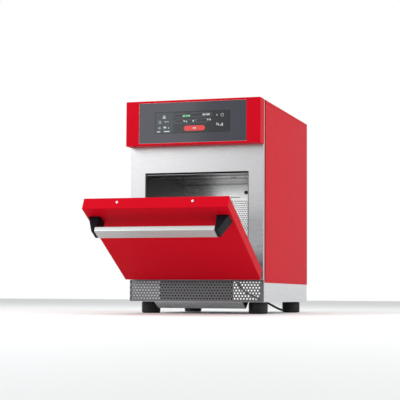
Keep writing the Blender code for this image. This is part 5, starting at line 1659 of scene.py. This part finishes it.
@dataclass
class Handle:
    """A flat steel bar between two tapered nylon ends."""

    half: float = 164.0 * MM
    tall: float = 36.6 * MM
    deep: float = 13.5 * MM
    stand_off: float = 37.8 * MM
    below_top: float = 28.7 * MM
    base_drop: float = 38.0 * MM
    base_tall: float = 39.0 * MM
    inside: float = 4.0 * MM
    past: float = 30.0 * MM
    tip: float = 9.0 * MM

    def make_bar(self, face: float, top: float) -> None:
        """Draws the bar with a softly rounded section.

        Args:
            face: The plane of the door's outer face.
            top: The height of the door's head.
        """
        high = top - self.below_top
        back = face - self.stand_off
        bar = block((-self.half, back - self.deep, high - self.tall), (self.half, back, high))
        soften(bar, 1.6 * MM, 3, lambda edge: is_sharp(edge)
               and abs(edge.verts[0].co.x - edge.verts[1].co.x) > 0.1)
        place(bar, "steel_handle_bar", HANDLE_STEEL, "handle_metal", ["handle_bar"],
              body=Body.DOOR, swing=True)

    def make_end(self, side: int, face: float, top: float) -> None:
        """Moulds one tapered end.

        Args:
            side: -1 for the left end, 1 for the right.
            face: The plane of the door's outer face.
            top: The height of the door's head.
        """
        bar_high = top - self.below_top
        tip_face = face - self.stand_off - self.deep
        base_high = top - self.base_drop
        base = (self.half - self.inside, self.half + self.past, base_high - self.base_tall,
                base_high)
        tip = (self.half + 0.3 * MM, self.half + self.tip, bar_high - self.tall, bar_high)
        shape = block((-1, -1, -1), (1, 1, 1))
        for vert in shape.verts:
            near, wide, low, high = base if vert.co.y > 0 else tip
            vert.co = (
                side * (wide if vert.co.x * side > 0 else near),
                face - 0.1 * MM if vert.co.y > 0 else tip_face,
                high if vert.co.z > 0 else low,
            )
        soften(shape, 2.6 * MM, 3, lambda edge: is_sharp(edge) and not all(
            vert.co.y > face - 1 * MM for vert in edge.verts))
        word = "left" if side < 0 else "right"
        place(shape, f"handle_end_{word}", BLACK_NYLON, "black_plastic",
              [f"handle_bracket_{word}"], body=Body.DOOR, swing=True)

    def build(self, face: float, top: float) -> None:
        """Makes the handle.

        Args:
            face: The plane of the door's outer face.
            top: The height of the door's head.
        """
        self.make_bar(face, top)
        self.make_end(-1, face, top)
        self.make_end(1, face, top)


@dataclass
class Cavity:
    """The cooking chamber: liner, ribbed ceiling, perforated rear cover and stone plate."""

    pitch: float = 7.4 * MM
    rise: float = 6.4 * MM
    hole: float = 2.15 * MM
    field: tuple[float, float, float] = (92.0 * MM, 50.0 * MM, 112.0 * MM)
    columns: int = 27
    rows: int = 17
    middle: float = 0.300

    def radius_at(self, x: float, z: float) -> float:
        """Gives the radius of the hole at a place on the rear cover.

        Args:
            x: The place across.
            z: The height.

        Returns:
            The radius, or 0 where the sheet is plain.
        """
        wide, tall, corner = self.field
        across, above = abs(x), abs(z - self.middle)
        holed = across <= wide and above <= tall and across + above <= corner
        return self.hole if holed else 0.0

    def make_cover(self) -> None:
        """Punches the rear cover that hides the fan."""
        low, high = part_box("fan_cover")
        sheet = Perforator(self.pitch, self.rise).sheet(
            self.columns, self.rows, (0.0, self.middle), (low[0], low[2]), (high[0], high[2]),
            high[1] - low[1], self.radius_at,
        )
        sheet = moved(sheet, (0, low[1] - min(vert.co.y for vert in sheet.verts), 0))
        place(sheet, "rear_cover", COVER_STEEL, "cavity_steel", ["fan_cover"], flat=True)
        # These dark bushes are painted shade: they stand where the sheet shows a port and four
        # small holes, which look dark from the shade inside them.
        studs = []
        small = [(6.0 + 7.8 * index, 357.0, 2.3) for index in range(4)]
        for x, z, radius in [(52.3, 372.0, 6.0), *small]:
            profile = in_mm([(0.0, 0.3), (radius * 0.55, 0.3), (radius * 0.6, 0.8),
                             (radius * 0.9, 0.8), (radius, 0.0), (0.0, 0.0)])
            studs.append(moved(lathe(profile, 16), (x * MM, low[1], z * MM), QUARTER_X))
        place(joined(studs), "shaded_hole_bushes", LINER_STEEL, "cavity_steel")

    def make_ceiling(self) -> None:
        """Presses the ribbed ceiling sheet."""
        low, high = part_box("ceiling_plate")
        steps = [
            (low[1], 0.0), (-0.078, 0.4), (-0.040, 0.5), (-0.035, -0.5), (-0.027, -0.5),
            (-0.022, 0.8), (0.048, 0.8), (0.056, -0.5), (0.066, -0.5), (0.072, 0.7),
            (0.108, 0.5), (0.112, 0.1), (0.118, 0.6), (0.160, 0.5), (0.164, 0.0), (0.170, 0.6),
            (0.228, 0.6), (0.238, -0.5), (0.248, -0.5), (high[1], 0.0),
        ]
        shape = swept([(low[0], y, low[2] + rise * MM) for y, rise in steps],
                      (high[0] - low[0], 0, 0))
        if shape.faces[:][0].normal.z < 0:
            bmesh.ops.reverse_faces(shape, faces=shape.faces)
        thicken(shape, -1.0 * MM)
        bolts = []
        for x, y in ((0.080, 0.030), (0.071, 0.030), (-0.030, -0.060), (-0.018, -0.050),
                     (-0.080, 0.030)):
            profile = in_mm([(0.0, 0.0), (1.6, 0.0), (3.2, 0.7), (3.6, 1.6), (0.0, 1.6)])
            bolts.append(moved(lathe(profile, 16), (x, y, low[2] - 0.6 * MM)))
        place(joined(bolts), "ceiling_fixings", LINER_STEEL, "stone_plate")
        place(shape, "ribbed_ceiling", CEILING_STEEL, "stone_plate", ["ceiling_plate"])

    def build(self) -> None:
        """Makes the chamber."""
        self.make_cover()
        self.make_ceiling()
        stone = soften(copy_of("cooking_plate"), 1.5 * MM, 2)
        place(stone, "stone_cooking_plate", STONE, "stone_plate", ["cooking_plate"])
        dress(LINER_STEEL, "cavity_liner")
        dress(WOOL, "insulation_jacket", "insulation_back")


class Workings:
    """The fans, the heater, the microwave parts and the electrics inside the shell."""

    def build(self) -> None:
        """Dresses the working parts."""
        dress(LINER_STEEL, "convection_fan")
        dress(HEATER_ALLOY, "heater_ring")
        dress(MOTOR_METAL, "fan_motor", "stirrer_motor")
        dress(CHASSIS_ZINC, "waveguide")
        dress(FIN_METAL, "magnetron", "inverter")
        dress(BLACK_NYLON, "cooling_fan_frame", "cooling_fan_rotor", "terminal_block",
              "interlock_switch_left", "interlock_switch_right")
        dress(FIXING_STEEL, "stirrer", "interlock_plunger_left", "interlock_plunger_right")


def main() -> None:
    """Builds the studio and every piece of the oven in order."""
    logging.basicConfig(level=logging.INFO, format="%(name)s %(message)s")
    Studio().build()
    SupplyCord().build()
    Casing().build()
    AirPath().build()
    Fascia().build()
    door = Door()
    door.build()
    Handle().build(door.front(), door.top)
    Cavity().build()
    Workings().build()


if __name__ == "__main__":
    main()
